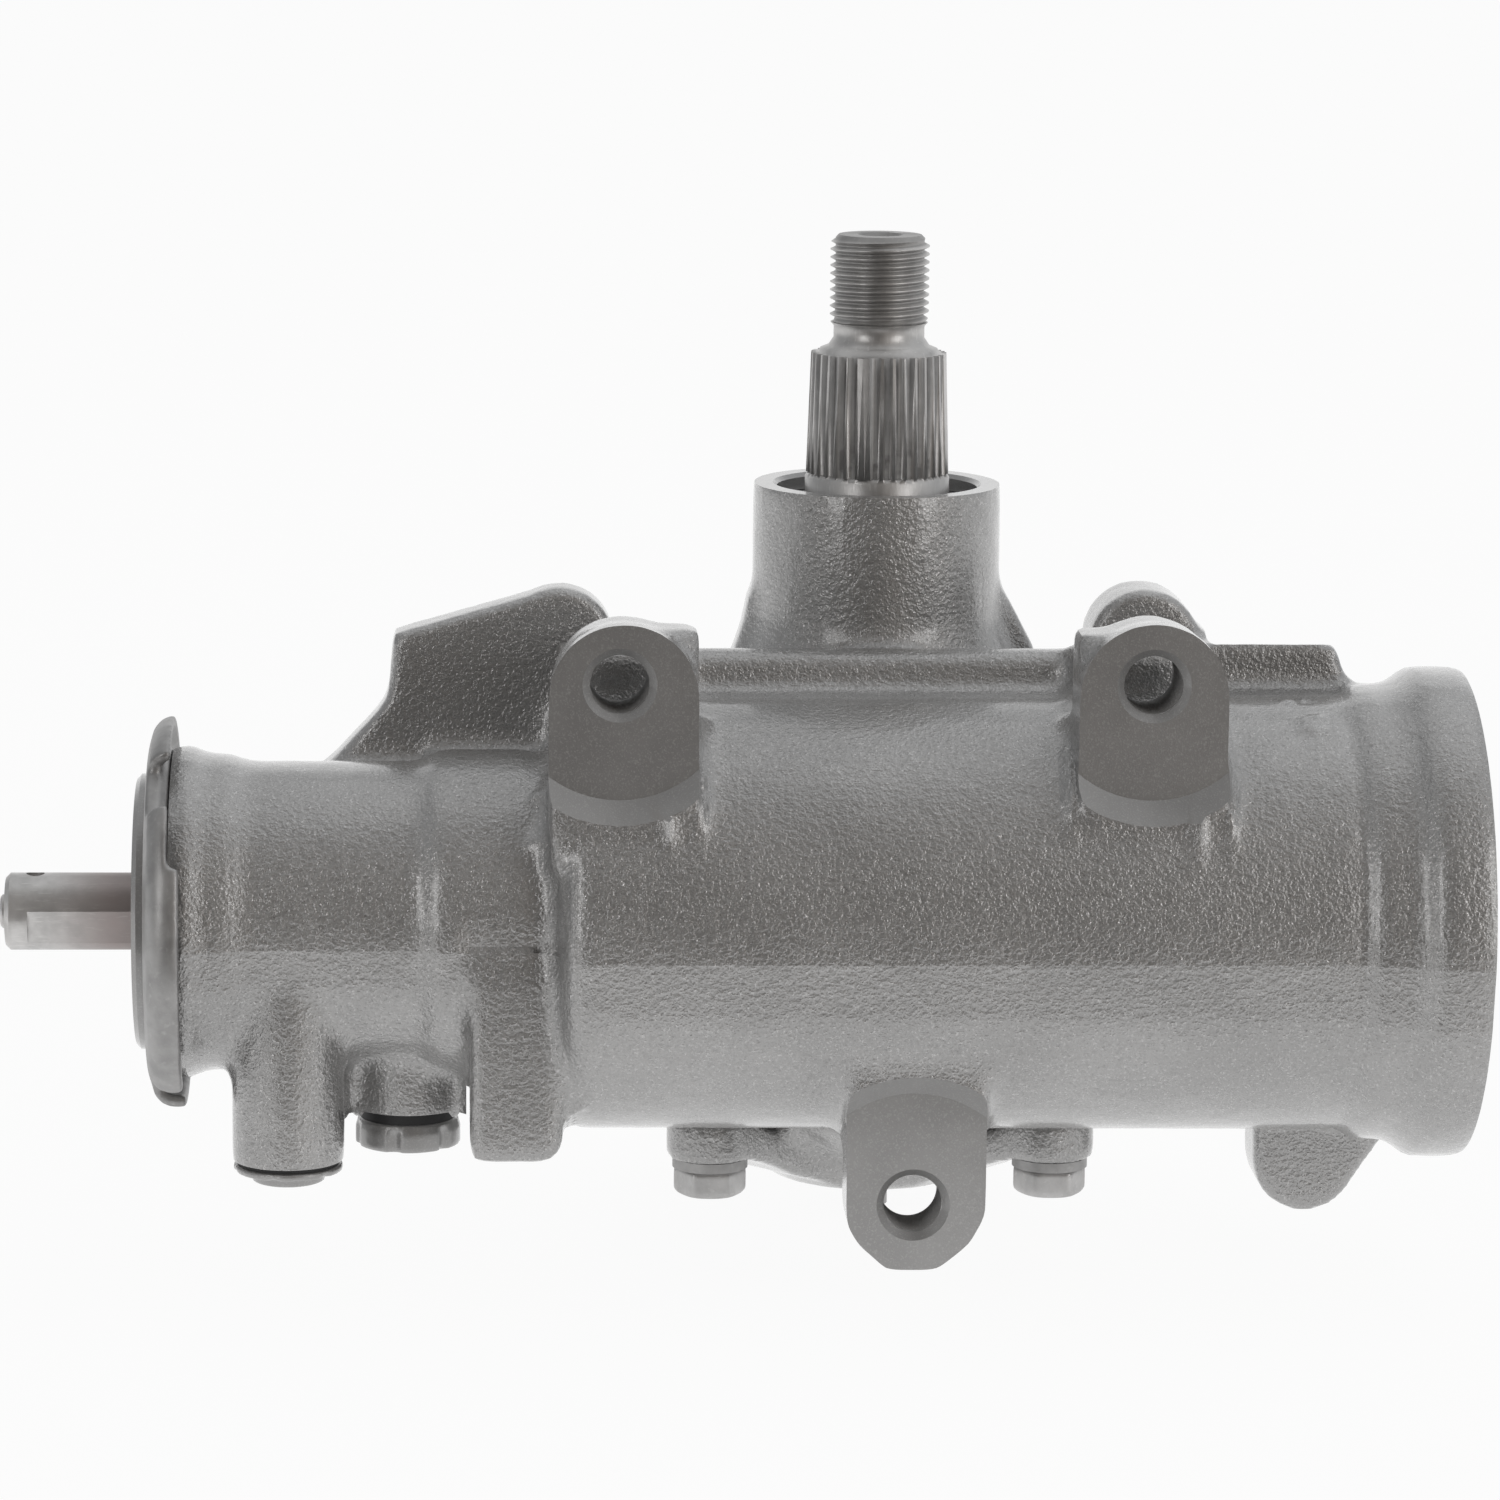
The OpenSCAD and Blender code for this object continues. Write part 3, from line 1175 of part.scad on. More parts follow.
module pitman_shaft() {
    chamfer = 1.8;
    color(steel) placed() difference() {
        union() {
            spin_pitman() polygon([
                [0, tail_z], [tail_r - 0.8, tail_z], [tail_r, tail_z + 0.8], [tail_r, -sector_face / 2],
                [sector_root_r - 0.5, -sector_face / 2], [sector_root_r - 0.5, sector_face / 2],
                [pitman_r, sector_face / 2], [pitman_r, spline_z - 6], [spline_r + 0.2, spline_z - 4.4],
                [spline_r + 0.2, spline_z - 1], [spline_r - 0.6, spline_z], [spline_r - 3, spline_z + 1],
                [0, spline_z + 1]
            ]);
            serration();
            spin_pitman() polygon([
                [0, spline_top - 1], [spline_top_r - 1.2, spline_top - 1],
                [spline_top_r - 2, spline_top + 0.9], [neck_r + 1.2, spline_top + 1.6],
                [neck_r, spline_top + 3.4], [neck_r, thread_z - 1],
                [thread_r, thread_z], [thread_r, thread_z + thread_len - chamfer],
                [thread_r - chamfer, thread_z + thread_len], [0, thread_z + thread_len]
            ]);
            translate([0, axis_offset, -sector_face / 2]) linear_extrude(sector_face)
                for (k = [-1 : 1]) rotate([0, 0, -90 + k * 360 / sector_full_teeth]) sector_tooth();
        }
        // Centre recess at the top, pocket for the lash adjuster's head at the bottom
        translate([0, axis_offset, thread_z + thread_len - 2.2]) cylinder(r1 = 3.4, r2 = 5.2, h = 2.3);
        tube_pitman(0, lash_head_r + 2 + fit_gap, tail_z - 1, tail_z + 1.6);
        tube_pitman(0, lash_head_r + run_gap, tail_z, tail_z + 2 + lash_head_h + run_gap);
    }
}

gear_housing();
side_cover();
cover_seal();
side_cover_bolts();
side_cover_washers();
cover_bushing();
lash_adjuster();
adjuster_jam_nut();
adjuster_plug();
adjuster_locknut();
adjuster_o_ring();
stub_dust_seal();
stub_seal();
stub_seal_ring();
stub_bearing_shell();
stub_bearing_needles();
upper_thrust_races();
upper_thrust_rollers();
lower_thrust_races();
lower_thrust_rollers();
housing_end_plug();
end_plug_o_ring();
end_plug_retaining_ring();
pitman_bearing_shell();
pitman_bearing_needles();
pitman_seal();
pitman_seal_washer();
pitman_snap_ring();
left_port_plug();
right_port_plug();
port_plug_o_rings();
port_seats();
worm_shaft();
valve_body();
valve_body_rings();
valve_drive_pin();
stub_shaft();
valve_spool();
torsion_bar();
stub_pin();
rack_piston();
piston_ring();
piston_ring_backup();
piston_end_plug();
recirculating_balls();
ball_return_guides();
ball_guide_clamp();
ball_guide_screws();
pitman_shaft();
adjuster_retainer();
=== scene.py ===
"""Looks of a recirculating-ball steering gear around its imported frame, laid out as a Blender add-on."""

import json
import math

import bmesh
import bpy
from mathutils import Matrix, Vector, noise


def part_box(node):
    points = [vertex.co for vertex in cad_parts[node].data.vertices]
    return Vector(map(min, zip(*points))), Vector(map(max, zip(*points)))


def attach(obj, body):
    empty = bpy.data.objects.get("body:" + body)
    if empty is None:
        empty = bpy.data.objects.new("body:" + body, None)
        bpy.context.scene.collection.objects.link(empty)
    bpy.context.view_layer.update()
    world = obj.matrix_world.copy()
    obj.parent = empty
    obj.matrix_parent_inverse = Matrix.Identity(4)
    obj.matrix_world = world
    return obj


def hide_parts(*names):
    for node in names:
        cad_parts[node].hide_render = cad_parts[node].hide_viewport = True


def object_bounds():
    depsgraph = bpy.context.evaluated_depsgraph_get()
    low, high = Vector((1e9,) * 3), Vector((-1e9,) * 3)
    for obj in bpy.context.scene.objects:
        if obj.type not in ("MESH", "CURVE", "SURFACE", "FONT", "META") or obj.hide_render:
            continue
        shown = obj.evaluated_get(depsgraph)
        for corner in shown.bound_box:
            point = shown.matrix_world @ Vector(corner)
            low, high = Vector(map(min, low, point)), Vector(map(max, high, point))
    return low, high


bl_info = {
    "name": "Steering gear dressing",
    "version": (1, 0, 0),
    "blender": (4, 5, 0),
    "location": "View3D > Sidebar > Steering gear",
    "description": "Gives a steering gear its cast, machined and threaded surfaces, its finishes and a stage",
    "category": "Object",
}

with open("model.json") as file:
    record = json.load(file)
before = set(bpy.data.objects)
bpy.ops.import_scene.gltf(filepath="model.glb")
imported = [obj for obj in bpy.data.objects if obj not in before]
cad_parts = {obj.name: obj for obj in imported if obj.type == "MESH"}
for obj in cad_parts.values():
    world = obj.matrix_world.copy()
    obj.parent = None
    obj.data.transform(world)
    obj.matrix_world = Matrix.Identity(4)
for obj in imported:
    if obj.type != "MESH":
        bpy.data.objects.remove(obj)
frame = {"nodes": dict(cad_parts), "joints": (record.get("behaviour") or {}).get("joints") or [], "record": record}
CAD_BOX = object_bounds()

MM = 0.001
NEAR = 1e-6
MOUNTS = {m["name"]: m for m in frame["record"]["mounts"]}
JOINTS = {j["name"]: j for j in frame["joints"]}
PITMAN = Vector((JOINTS["pitman_swing"]["pos_m"][0], JOINTS["pitman_swing"]["pos_m"][1], 0))
WORM = Vector((0, 0, 0))
AXES = {"X": Vector((1, 0, 0)), "Y": Vector((0, 1, 0)), "Z": Vector((0, 0, 1))}
CAST, MACHINED = 0, 1

# Stations along the worm axis and heights along the pitman axis, in millimetres
VALVE_END, PLUG_SEAT, PILOT_END, BULKHEAD, CHAMBER = 8.4, 22.9, 30.3, 84.3, 96.3
END_PLUG, END_PLUG_FACE, END_RING, HOUSING_END = 264.826, 276.826, 279.826, 289.226
DECK, CHAMBER_TOP, BEARING_TOP, SEAL_SEAT, SNAP_GROOVE, BOSS_TOP = -49, 23, 57, 67.7, 82.3, 87.8
LUG_FACE = -36
CUT_MARGIN = 12

# Radii of the machined bores about the worm axis and the pitman axis, in millimetres
PLUG_THREAD_R, PILOT_R, VALVE_R, BULKHEAD_R = 30.05, 27.05, 25.5, 13.4
CYLINDER_R, END_PLUG_R, END_RING_R = 40, 44.05, 46.4
SECTOR_R, BEARING_R, SHAFT_R, SEAL_R, SNAP_R = 33, 21.85, 17.9, 22.6, 23.8

# The parting line shows where Y is less than this, in metres
SEAM_FRONT = -0.015
PEBBLE_SIZE = 0.0045


# Shader values and finishes


class Wire:
    """A value in a finish: its operators add Math nodes"""

    def __init__(self, finish, socket):
        self.finish = finish
        self.socket = socket

    def combine(self, operation, first, second):
        return self.finish.value("ShaderNodeMath", {"operation": operation}, {0: first, 1: second})

    def __add__(self, other):
        return self.combine("ADD", self, other)

    def __radd__(self, other):
        return self.combine("ADD", other, self)

    def __sub__(self, other):
        return self.combine("SUBTRACT", self, other)

    def __rsub__(self, other):
        return self.combine("SUBTRACT", other, self)

    def __mul__(self, other):
        return self.combine("MULTIPLY", self, other)

    def root(self):
        return self.combine("SQRT", self, 0.0)

    def spread(self, low, high):
        """0 at low, 1 at high and clamped outside"""
        return self.finish.value(
            "ShaderNodeMapRange", {"clamp": True, "interpolation_type": "SMOOTHSTEP"},
            {"Value": self, "From Min": low, "From Max": high, "To Min": 0.0, "To Max": 1.0})


class Finish:
    """A node material or world under construction"""

    def __init__(self, holder):
        holder.use_nodes = True
        self.holder = holder
        self.tree = holder.node_tree
        self.tree.nodes.clear()

    def node(self, kind, settings=None, sockets=None):
        made = self.tree.nodes.new(kind)
        for key, value in (settings or {}).items():
            setattr(made, key, value)
        for key, value in (sockets or {}).items():
            if isinstance(value, Wire):
                self.tree.links.new(value.socket, made.inputs[key])
            else:
                made.inputs[key].default_value = value
        return made

    def value(self, kind, settings=None, sockets=None, output=0):
        return Wire(self, self.node(kind, settings, sockets).outputs[output])

    def place(self):
        return self.value("ShaderNodeTexCoord", output="Object")

    def grain(self, place, scale, detail, roughness):
        return self.value(
            "ShaderNodeTexNoise", None,
            {"Vector": place, "Scale": scale, "Detail": detail, "Roughness": roughness})

    def stretched(self, place, scale):
        return self.value("ShaderNodeMapping", None, {"Vector": place, "Scale": scale})

    def mixed(self, factor, first, second):
        return self.value("ShaderNodeMix", {"data_type": "RGBA"}, {0: factor, 6: first, 7: second}, output=2)

    def bump(self, height, strength, distance):
        return self.value(
            "ShaderNodeBump", None, {"Height": height, "Strength": strength, "Distance": distance})

    def surface(self, **sockets):
        named = {key.replace("_", " "): value for key, value in sockets.items()}
        shader = self.value("ShaderNodeBsdfPrincipled", None, named)
        self.node("ShaderNodeOutputMaterial", None, {"Surface": shader})
        return self.holder


def shade(colour, level):
    """A colour made lighter or darker, with full alpha"""
    return (colour[0] * level, colour[1] * level, colour[2] * level, 1.0)


def cast_paint(colour, grain_size, grain_depth):
    """Satin paint over a sand-cast skin: pebbled relief, bright flakes that are partly painted highlight standing
    in for glints, and darker low spots in the pebbles
    """
    dull, clean, flake_and_glint, recess_dark = (shade(colour, level) for level in (0.93, 1.03, 1.75, 0.62))
    f = Finish(bpy.data.materials.new("cast_paint"))
    place = f.place()
    pebbles = f.grain(place, 1 / grain_size, 2.0, 0.5)
    sand = f.grain(place, 2.2 / grain_size, 1.0, 0.5)
    clouds = f.grain(place, 38.0, 3.0, 0.55)
    height = pebbles * 0.7 + sand * 0.3
    tone = f.mixed(clouds.spread(0.35, 0.65), dull, clean)
    # Bright flakes in the base colour: partly the paint's own flakes, partly painted highlight that stands in for
    # glints
    with_flakes_and_glints = f.mixed(sand.spread(0.56, 0.74) * 0.5, tone, flake_and_glint)
    # Darker colour in the low spots of the pebbled relief
    hollows = f.mixed((1 - pebbles.spread(0.3, 0.5)) * 0.3, with_flakes_and_glints, recess_dark)
    return f.surface(
        Base_Color=hollows, Metallic=0.7, Roughness=0.38 - sand.spread(0.45, 0.7) * 0.12,
        Coat_Weight=1.0, Coat_Roughness=0.15, Normal=f.bump(height, 1.0, grain_depth))


def machined_paint(colour):
    """The same paint over a milled or turned face"""
    dull, clean, spark = (shade(colour, level) for level in (0.86, 0.96, 1.35))
    f = Finish(bpy.data.materials.new("machined_paint"))
    place = f.place()
    fine = f.grain(place, 2600.0, 2.0, 0.6)
    clouds = f.grain(place, 60.0, 3.0, 0.55)
    tone = f.mixed(clouds.spread(0.3, 0.7), dull, clean)
    speckled = f.mixed(fine.spread(0.52, 0.7) * 0.55, tone, spark)
    return f.surface(
        Base_Color=speckled, Metallic=0.74, Roughness=0.38 + fine * 0.16,
        Coat_Weight=1.0, Coat_Roughness=0.15, Normal=f.bump(fine, 0.5, 0.0001))


def turned_steel(name, colour, roughness, streak, stain=None):
    """Bare steel with fine tool marks, and a stain that fades along X where one is given"""
    dull, clean, spark = (shade(colour, level) for level in (0.82, 1.1, 1.35))
    f = Finish(bpy.data.materials.new(name))
    place = f.place()
    marks = f.grain(f.stretched(place, streak), 1.0, 3.0, 0.6)
    clouds = f.grain(place, 140.0, 4.0, 0.6)
    tone = f.mixed(clouds.spread(0.3, 0.7), dull, clean)
    worn = f.mixed(marks.spread(0.55, 0.75) * 0.5, tone, spark)
    if stain is not None:
        tint, clean_x, stained_x = stain
        along = f.value("ShaderNodeSeparateXYZ", None, {0: place}, output="X")
        worn = f.mixed(along.spread(clean_x, stained_x) * (0.35 + clouds * 0.5), worn, (*tint, 1.0))
    return f.surface(
        Base_Color=worn, Metallic=0.85, Roughness=roughness - 0.08 + marks * 0.2,
        Normal=f.bump(marks, 0.3, 0.00004))


def grooved_steel(colour, centre):
    """Steel of the pitman shaft, with painted shade in the roots of its thread and serration"""
    thread_start, thread_root = (0.1228, 0.1242), (0.01005, 0.01085)
    serration_foot, serration_top, root_depth = (0.0896, 0.0904), (0.1166, 0.1174), (0.0002, 0.001)
    tip_radius, tip_height, tip_taper = 0.01605, 0.0903, 0.0315
    patchy_end = (0.093, 0.104)
    dull, clean, spark, recess_dark = (shade(colour, level) for level in (0.9, 1.15, 1.5, 0.2))
    f = Finish(bpy.data.materials.new("pitman_steel"))
    place = f.place()
    marks = f.grain(f.stretched(place, (1500.0, 1500.0, 240.0)), 1.0, 3.0, 0.6)
    clouds = f.grain(place, 160.0, 4.0, 0.6)
    axes = f.node("ShaderNodeSeparateXYZ", None, {0: place})
    x, y, z = (Wire(f, axes.outputs[axis]) for axis in "XYZ")
    radius = ((x - centre.x) * (x - centre.x) + (y - centre.y) * (y - centre.y)).root()
    thread = z.spread(*thread_start) * (1 - radius.spread(*thread_root))
    tip = tip_radius - (z - tip_height) * tip_taper
    length = (1 - z.spread(*serration_top)) * z.spread(*serration_foot)
    serration = length * (tip - radius).spread(*root_depth)
    # Painted shade: the base colour darkens in the roots of the thread and the serration, more in patches towards
    # the foot of the serration
    patchy = clouds.spread(0.42, 0.6) * (1 - z.spread(*patchy_end))
    root_shade = thread * 0.4 + serration * (0.2 + patchy * 0.5)
    tone = f.mixed(clouds.spread(0.3, 0.7), dull, clean)
    worn = f.mixed(marks.spread(0.55, 0.75) * 0.5, tone, spark)
    return f.surface(
        Base_Color=f.mixed(root_shade, worn, recess_dark), Metallic=0.85, Roughness=0.3 + marks * 0.16 + root_shade * 0.2,
        Normal=f.bump(marks, 0.3, 0.00004))


def moulded(name, colour, roughness, grain):
    """Rubber or plastic with a fine moulded skin"""
    f = Finish(bpy.data.materials.new(name))
    place = f.place()
    skin = f.grain(place, grain, 2.0, 0.5)
    clouds = f.grain(place, 90.0, 3.0, 0.5)
    tone = f.mixed(clouds.spread(0.3, 0.7), shade(colour, 0.85), shade(colour, 1.15))
    return f.surface(
        Base_Color=tone, Metallic=0.0, Roughness=roughness - 0.05 + skin * 0.1,
        Normal=f.bump(skin, 0.25, 0.00005))


# Mesh helpers


def turned(bm, profile, centre, axis, steps=96):
    """Spins a profile of (radius, station) in millimetres about an axis through centre"""
    along = AXES[axis]
    out = AXES["X"] if axis == "Z" else AXES["Z"]
    verts = [bm.verts.new(centre + along * (s * MM) + out * (r * MM)) for r, s in profile]
    edges = [bm.edges.new(pair) for pair in zip(verts, verts[1:])]
    bmesh.ops.spin(
        bm, geom=verts + edges, cent=centre, axis=along, angle=math.tau, steps=steps, use_merge=True)
    bmesh.ops.remove_doubles(bm, verts=bm.verts, dist=1e-7)


def rod(bm, radius, start, end, centre, axis, steps=64):
    """A plain round bar between two stations"""
    turned(bm, [(0, start), (radius, start), (radius, end), (0, end)], centre, axis, steps)


def slab(bm, outline, front, back):
    """An outline in X and Z, in metres, as a slab between two stations along Y in millimetres"""
    face = bm.faces.new([bm.verts.new((x, front * MM, z)) for x, z in outline])
    grown = bmesh.ops.extrude_face_region(bm, geom=[face])["geom"]
    moved = [g for g in grown if isinstance(g, bmesh.types.BMVert)]
    bmesh.ops.translate(bm, verts=moved, vec=(0, (back - front) * MM, 0))


def outward(bm):
    """Turns all faces outward"""
    bmesh.ops.recalc_face_normals(bm, faces=bm.faces)


def made_object(name, bm, finishes):
    """A mesh object at the origin with its material slots"""
    mesh = bpy.data.meshes.new(name)
    bm.to_mesh(mesh)
    bm.free()
    obj = bpy.data.objects.new(name, mesh)
    bpy.context.scene.collection.objects.link(obj)
    for finish in finishes:
        mesh.materials.append(finish)
    return obj


def discard(obj):
    """Removes an object and its mesh"""
    mesh = obj.data
    bpy.data.objects.remove(obj)
    bpy.data.meshes.remove(mesh)


def settle(obj):
    """Turns an object's modifiers into its mesh"""
    shaped = obj.evaluated_get(bpy.context.evaluated_depsgraph_get())
    mesh = bpy.data.meshes.new_from_object(shaped)
    old = obj.data
    obj.modifiers.clear()
    obj.data = mesh
    bpy.data.meshes.remove(old)


def node_copy(name):
    """A merged copy of a CAD node's mesh"""
    bm = bmesh.new()
    bm.from_mesh(frame["nodes"][name].data)
    bmesh.ops.remove_doubles(bm, verts=bm.verts, dist=NEAR)
    for face in bm.faces:
        face.material_index = CAST
    return bm


def cast_skin(name, node, fillers, finishes, voxel, fillet, passes):
    """Skin over a CAD solid whose bores are filled: inner corners get fillets and edges are rounded"""
    bm = node_copy(node)
    outward(fillers)
    stock = bpy.data.meshes.new("stock")
    fillers.to_mesh(stock)
    fillers.free()
    bm.from_mesh(stock)
    bpy.data.meshes.remove(stock)
    obj = made_object(name, bm, finishes)
    steps = [("REMESH", voxel), ("DISPLACE", fillet), ("REMESH", voxel), ("SMOOTH", 2), ("DISPLACE", -fillet),
             ("REMESH", voxel), ("SMOOTH", passes)]
    for kind, amount in steps:
        step = obj.modifiers.new(kind.title(), kind)
        if kind == "REMESH":
            step.mode = "VOXEL"
            step.voxel_size = amount
        elif kind == "DISPLACE":
            step.mid_level = 0
            step.strength = amount
        else:
            step.factor = 0.5
            step.iterations = amount
    settle(obj)
    return obj


def cut(obj, cutter):
    """Machines an object: new faces take the second material slot where there is one"""
    outward(cutter)
    for face in cutter.faces:
        face.material_index = MACHINED
    tool = made_object("cutter", cutter, list(obj.data.materials))
    step = obj.modifiers.new("Machining", "BOOLEAN")
    step.operation = "DIFFERENCE"
    step.solver = "MANIFOLD"
    step.object = tool
    settle(obj)
    discard(tool)


def shade_smooth(obj, angle):
    """Smooth shading that breaks at edges sharper than the angle in degrees"""
    for face in obj.data.polygons:
        face.use_smooth = True
    obj.data.set_sharp_from_angle(angle=math.radians(angle))


def pebble(bm, height, scars=()):
    """Moves each vertex a little along its normal, as a sand mould leaves it, and more so at a scar"""
    fine_size, fine_share, scar_size = PEBBLE_SIZE * 0.45, 0.6, 0.0026
    bm.normal_update()
    moves = []
    for vert in bm.verts:
        rough = height * (noise.noise(vert.co / PEBBLE_SIZE) + fine_share * noise.noise(vert.co / fine_size))
        for centre, reach, proud in scars:
            near = max(0, 1 - (vert.co - centre).length / reach)
            rough += proud * min(1, 2 * near) * (0.3 + 1.4 * noise.noise(vert.co / scar_size))
        moves.append(vert.normal * rough)
    for vert, move in zip(bm.verts, moves):
        vert.co += move


def seam_facet(bm, seam_z, reach_deg, block):
    """Flat band under the parting line on the front of the turned forms, and a ledge over it on the block"""
    block_front, ledge, ledge_height = -0.03, 0.0009, 0.009
    half = math.radians(reach_deg) / 2
    bmesh.ops.bisect_plane(
        bm, geom=bm.verts[:] + bm.edges[:] + bm.faces[:], plane_co=(0, 0, seam_z), plane_no=(0, 0, 1),
        dist=NEAR)
    for vert in bm.verts:
        x, y, z = vert.co
        above, on_block = z > seam_z + NEAR, block[0] < x < block[1]
        if above and on_block and y < block_front:
            vert.co.y += ledge * max(0, 1 - (z - seam_z) / ledge_height)
        if above or on_block or y > SEAM_FRONT:
            continue
        radius = math.hypot(y, z)
        start = math.asin(min(1, -seam_z / radius))
        angle = math.atan2(-z, -y)
        if start <= angle <= start + 2 * half:
            share = math.cos(half) / math.cos(angle - start - half)
            vert.co.y *= share
            vert.co.z *= share


def trim_block(bm, start_x, front_y, top_z, slope):
    """Slopes the top of the block beside the right lug down towards the back"""
    for vert in bm.verts:
        if vert.co.x > start_x and vert.co.y > front_y:
            vert.co.z = min(vert.co.z, top_z - (vert.co.y - front_y) * slope)


def hump(off, half):
    """1 in the middle of a band and 0 at its edges"""
    return 0.5 + 0.5 * math.cos(math.pi * off / half)


def ring_groove(bm, station, half, depth, top_z):
    """Shallow turned groove around the cylinder"""
    inner, outer = 0.044, 0.053
    for vert in bm.verts:
        radius, off = math.hypot(vert.co.y, vert.co.z), abs(vert.co.x - station)
        if off < half and inner < radius < outer and vert.co.z < top_z:
            share = 1 - depth * hump(off, half) / radius
            vert.co.y *= share
            vert.co.z *= share


def cast_fins(bm, fins, half, proud):
    """Low fins that run down the front of the cylinder from the lugs, each at its own X from foot to top"""
    inner, outer, front, rise = 0.044, 0.0495, -0.02, 0.6
    for vert in bm.verts:
        x, y, z = vert.co
        radius = math.hypot(y, z)
        for place, foot, top in fins:
            off = abs(x - place)
            if off < half and y < front and foot < z < top and inner < radius < outer:
                taper = min(1, (z - foot) / (rise * (top - foot)))
                share = 1 + proud * taper * hump(off, half) / radius
                vert.co.y, vert.co.z = y * share, z * share


def crisp_seam(obj, seam_z):
    """Marks the parting line on the front as a sharp edge"""
    reach = 4e-5
    near = [abs(v.co.z - seam_z) < reach and v.co.y < SEAM_FRONT for v in obj.data.vertices]
    for edge in obj.data.edges:
        if near[edge.vertices[0]] and near[edge.vertices[1]]:
            edge.use_edge_sharp = True


def lug_outline(centre_x, round_z, foot_z, radius):
    """Rounded top over straight sides: the radius in millimetres, the rest in metres"""
    reach, steps = radius * MM, 24
    angles = [math.pi * k / steps for k in range(steps + 1)]
    arc = [(centre_x + reach * math.cos(a), round_z + reach * math.sin(a)) for a in angles]
    return arc + [(centre_x - reach, foot_z), (centre_x + reach, foot_z)]


# Settings


class CastingSettings(bpy.types.PropertyGroup):
    """Shape of the cast surfaces"""

    voxel: bpy.props.FloatProperty(
        name="Skin mesh", description="Size of a face in the housing's cast skin", default=0.00134,
        unit="LENGTH")
    cover_voxel: bpy.props.FloatProperty(
        name="Cover mesh", description="Size of a face in the side cover's cast skin", default=0.0011,
        unit="LENGTH")
    fillet: bpy.props.FloatProperty(
        name="Fillet", description="Radius in the inner corners of the castings", default=0.0016,
        unit="LENGTH")
    passes: bpy.props.IntProperty(
        name="Rounding passes", description="Smoothing passes that round the cast edges", default=2)
    pebble_height: bpy.props.FloatProperty(
        name="Pebble height", description="Unevenness of the sand-cast skin", default=0.00007, unit="LENGTH")
    seam_z: bpy.props.FloatProperty(
        name="Parting line", description="Height of the mould's parting line", default=-0.002, unit="LENGTH")
    seam_reach: bpy.props.FloatProperty(
        name="Parting facet", description="Angle of the flat band under the parting line", default=15.0)


class FinishSettings(bpy.types.PropertyGroup):
    """Colours of the finishes"""

    paint: bpy.props.FloatVectorProperty(
        name="Paint", description="Satin paint on castings and plugs", subtype="COLOR",
        default=(0.38, 0.376, 0.373))
    steel: bpy.props.FloatVectorProperty(
        name="Steel", description="Bare shafts and fasteners", subtype="COLOR", default=(0.49, 0.483, 0.476))
    stain: bpy.props.FloatVectorProperty(
        name="Stain", description="Reddish stain on the input shaft", subtype="COLOR",
        default=(0.20, 0.135, 0.125))
    grain_size: bpy.props.FloatProperty(
        name="Cast grain", description="Size of a pebble in the cast paint", default=0.0011, unit="LENGTH")
    grain_depth: bpy.props.FloatProperty(
        name="Grain depth", description="Depth of the pebbles", default=0.0006, unit="LENGTH")


class StageSettings(bpy.types.PropertyGroup):
    """Camera and light"""

    lens: bpy.props.FloatProperty(
        name="Lens", description="Focal length on a 36 mm sensor, in millimetres", default=139.09)
    azimuth: bpy.props.FloatProperty(
        name="Azimuth", description="Camera's turn about the vertical, in degrees", default=-3.0031)
    elevation: bpy.props.FloatProperty(
        name="Elevation", description="Camera's angle above the horizon, in degrees", default=10.0761)
    roll: bpy.props.FloatProperty(
        name="Roll", description="Camera's turn about its own axis, in degrees", default=0.5918)
    distance: bpy.props.FloatProperty(
        name="Distance", description="From the camera to its target", default=1.2623, unit="LENGTH")
    target: bpy.props.FloatVectorProperty(
        name="Target", description="Point at the middle of the picture", subtype="XYZ",
        default=(0.133533, 0.0, 0.03576))


CASTING = "steering_gear_casting"
FINISH = "steering_gear_finish"
STAGE = "steering_gear_stage"


def finish_named(name):
    """A finish by name, made at its first use"""
    made = bpy.data.materials.get(name)
    if made is not None:
        return made
    look = getattr(bpy.context.scene, FINISH)
    if name == "cast_paint":
        return cast_paint(look.paint, look.grain_size, look.grain_depth)
    if name == "machined_paint":
        return machined_paint(look.paint)
    if name == "pitman_steel":
        return grooved_steel(look.steel, PITMAN)
    # Colour, roughness, and how fine the tool marks are along each axis
    steels = {
        "input_steel": (shade(look.steel, 1.25), 0.42, (260.0, 1800.0, 1800.0)),
        "shaft_steel": (look.steel, 0.36, (1200.0, 1200.0, 1200.0)),
        "pressed_steel": (look.paint, 0.44, (700.0, 700.0, 700.0)),
        # Bolts in the paint colour made 35 % lighter: painted light, standing in for the white floor reflected on
        # them
        "bolt_steel": (shade(look.paint, 1.35), 0.4, (900.0, 900.0, 900.0)),
        "bearing_steel": ((0.42, 0.42, 0.42), 0.22, (1200.0, 1200.0, 1200.0)),
        "brass": ((0.55, 0.40, 0.17), 0.34, (900.0, 900.0, 900.0))}
    if name in steels:
        stain = (look.stain, -0.022, -0.003) if name == "input_steel" else None
        return turned_steel(name, *steels[name], stain)
    # Colour, roughness, and how fine the moulded skin is
    mouldings = {
        "rubber": ((0.018, 0.018, 0.019), 0.6, 1500.0),
        "ring_plastic": ((0.16, 0.11, 0.07), 0.45, 900.0)}
    return moulded(name, *mouldings[name])


# Operators


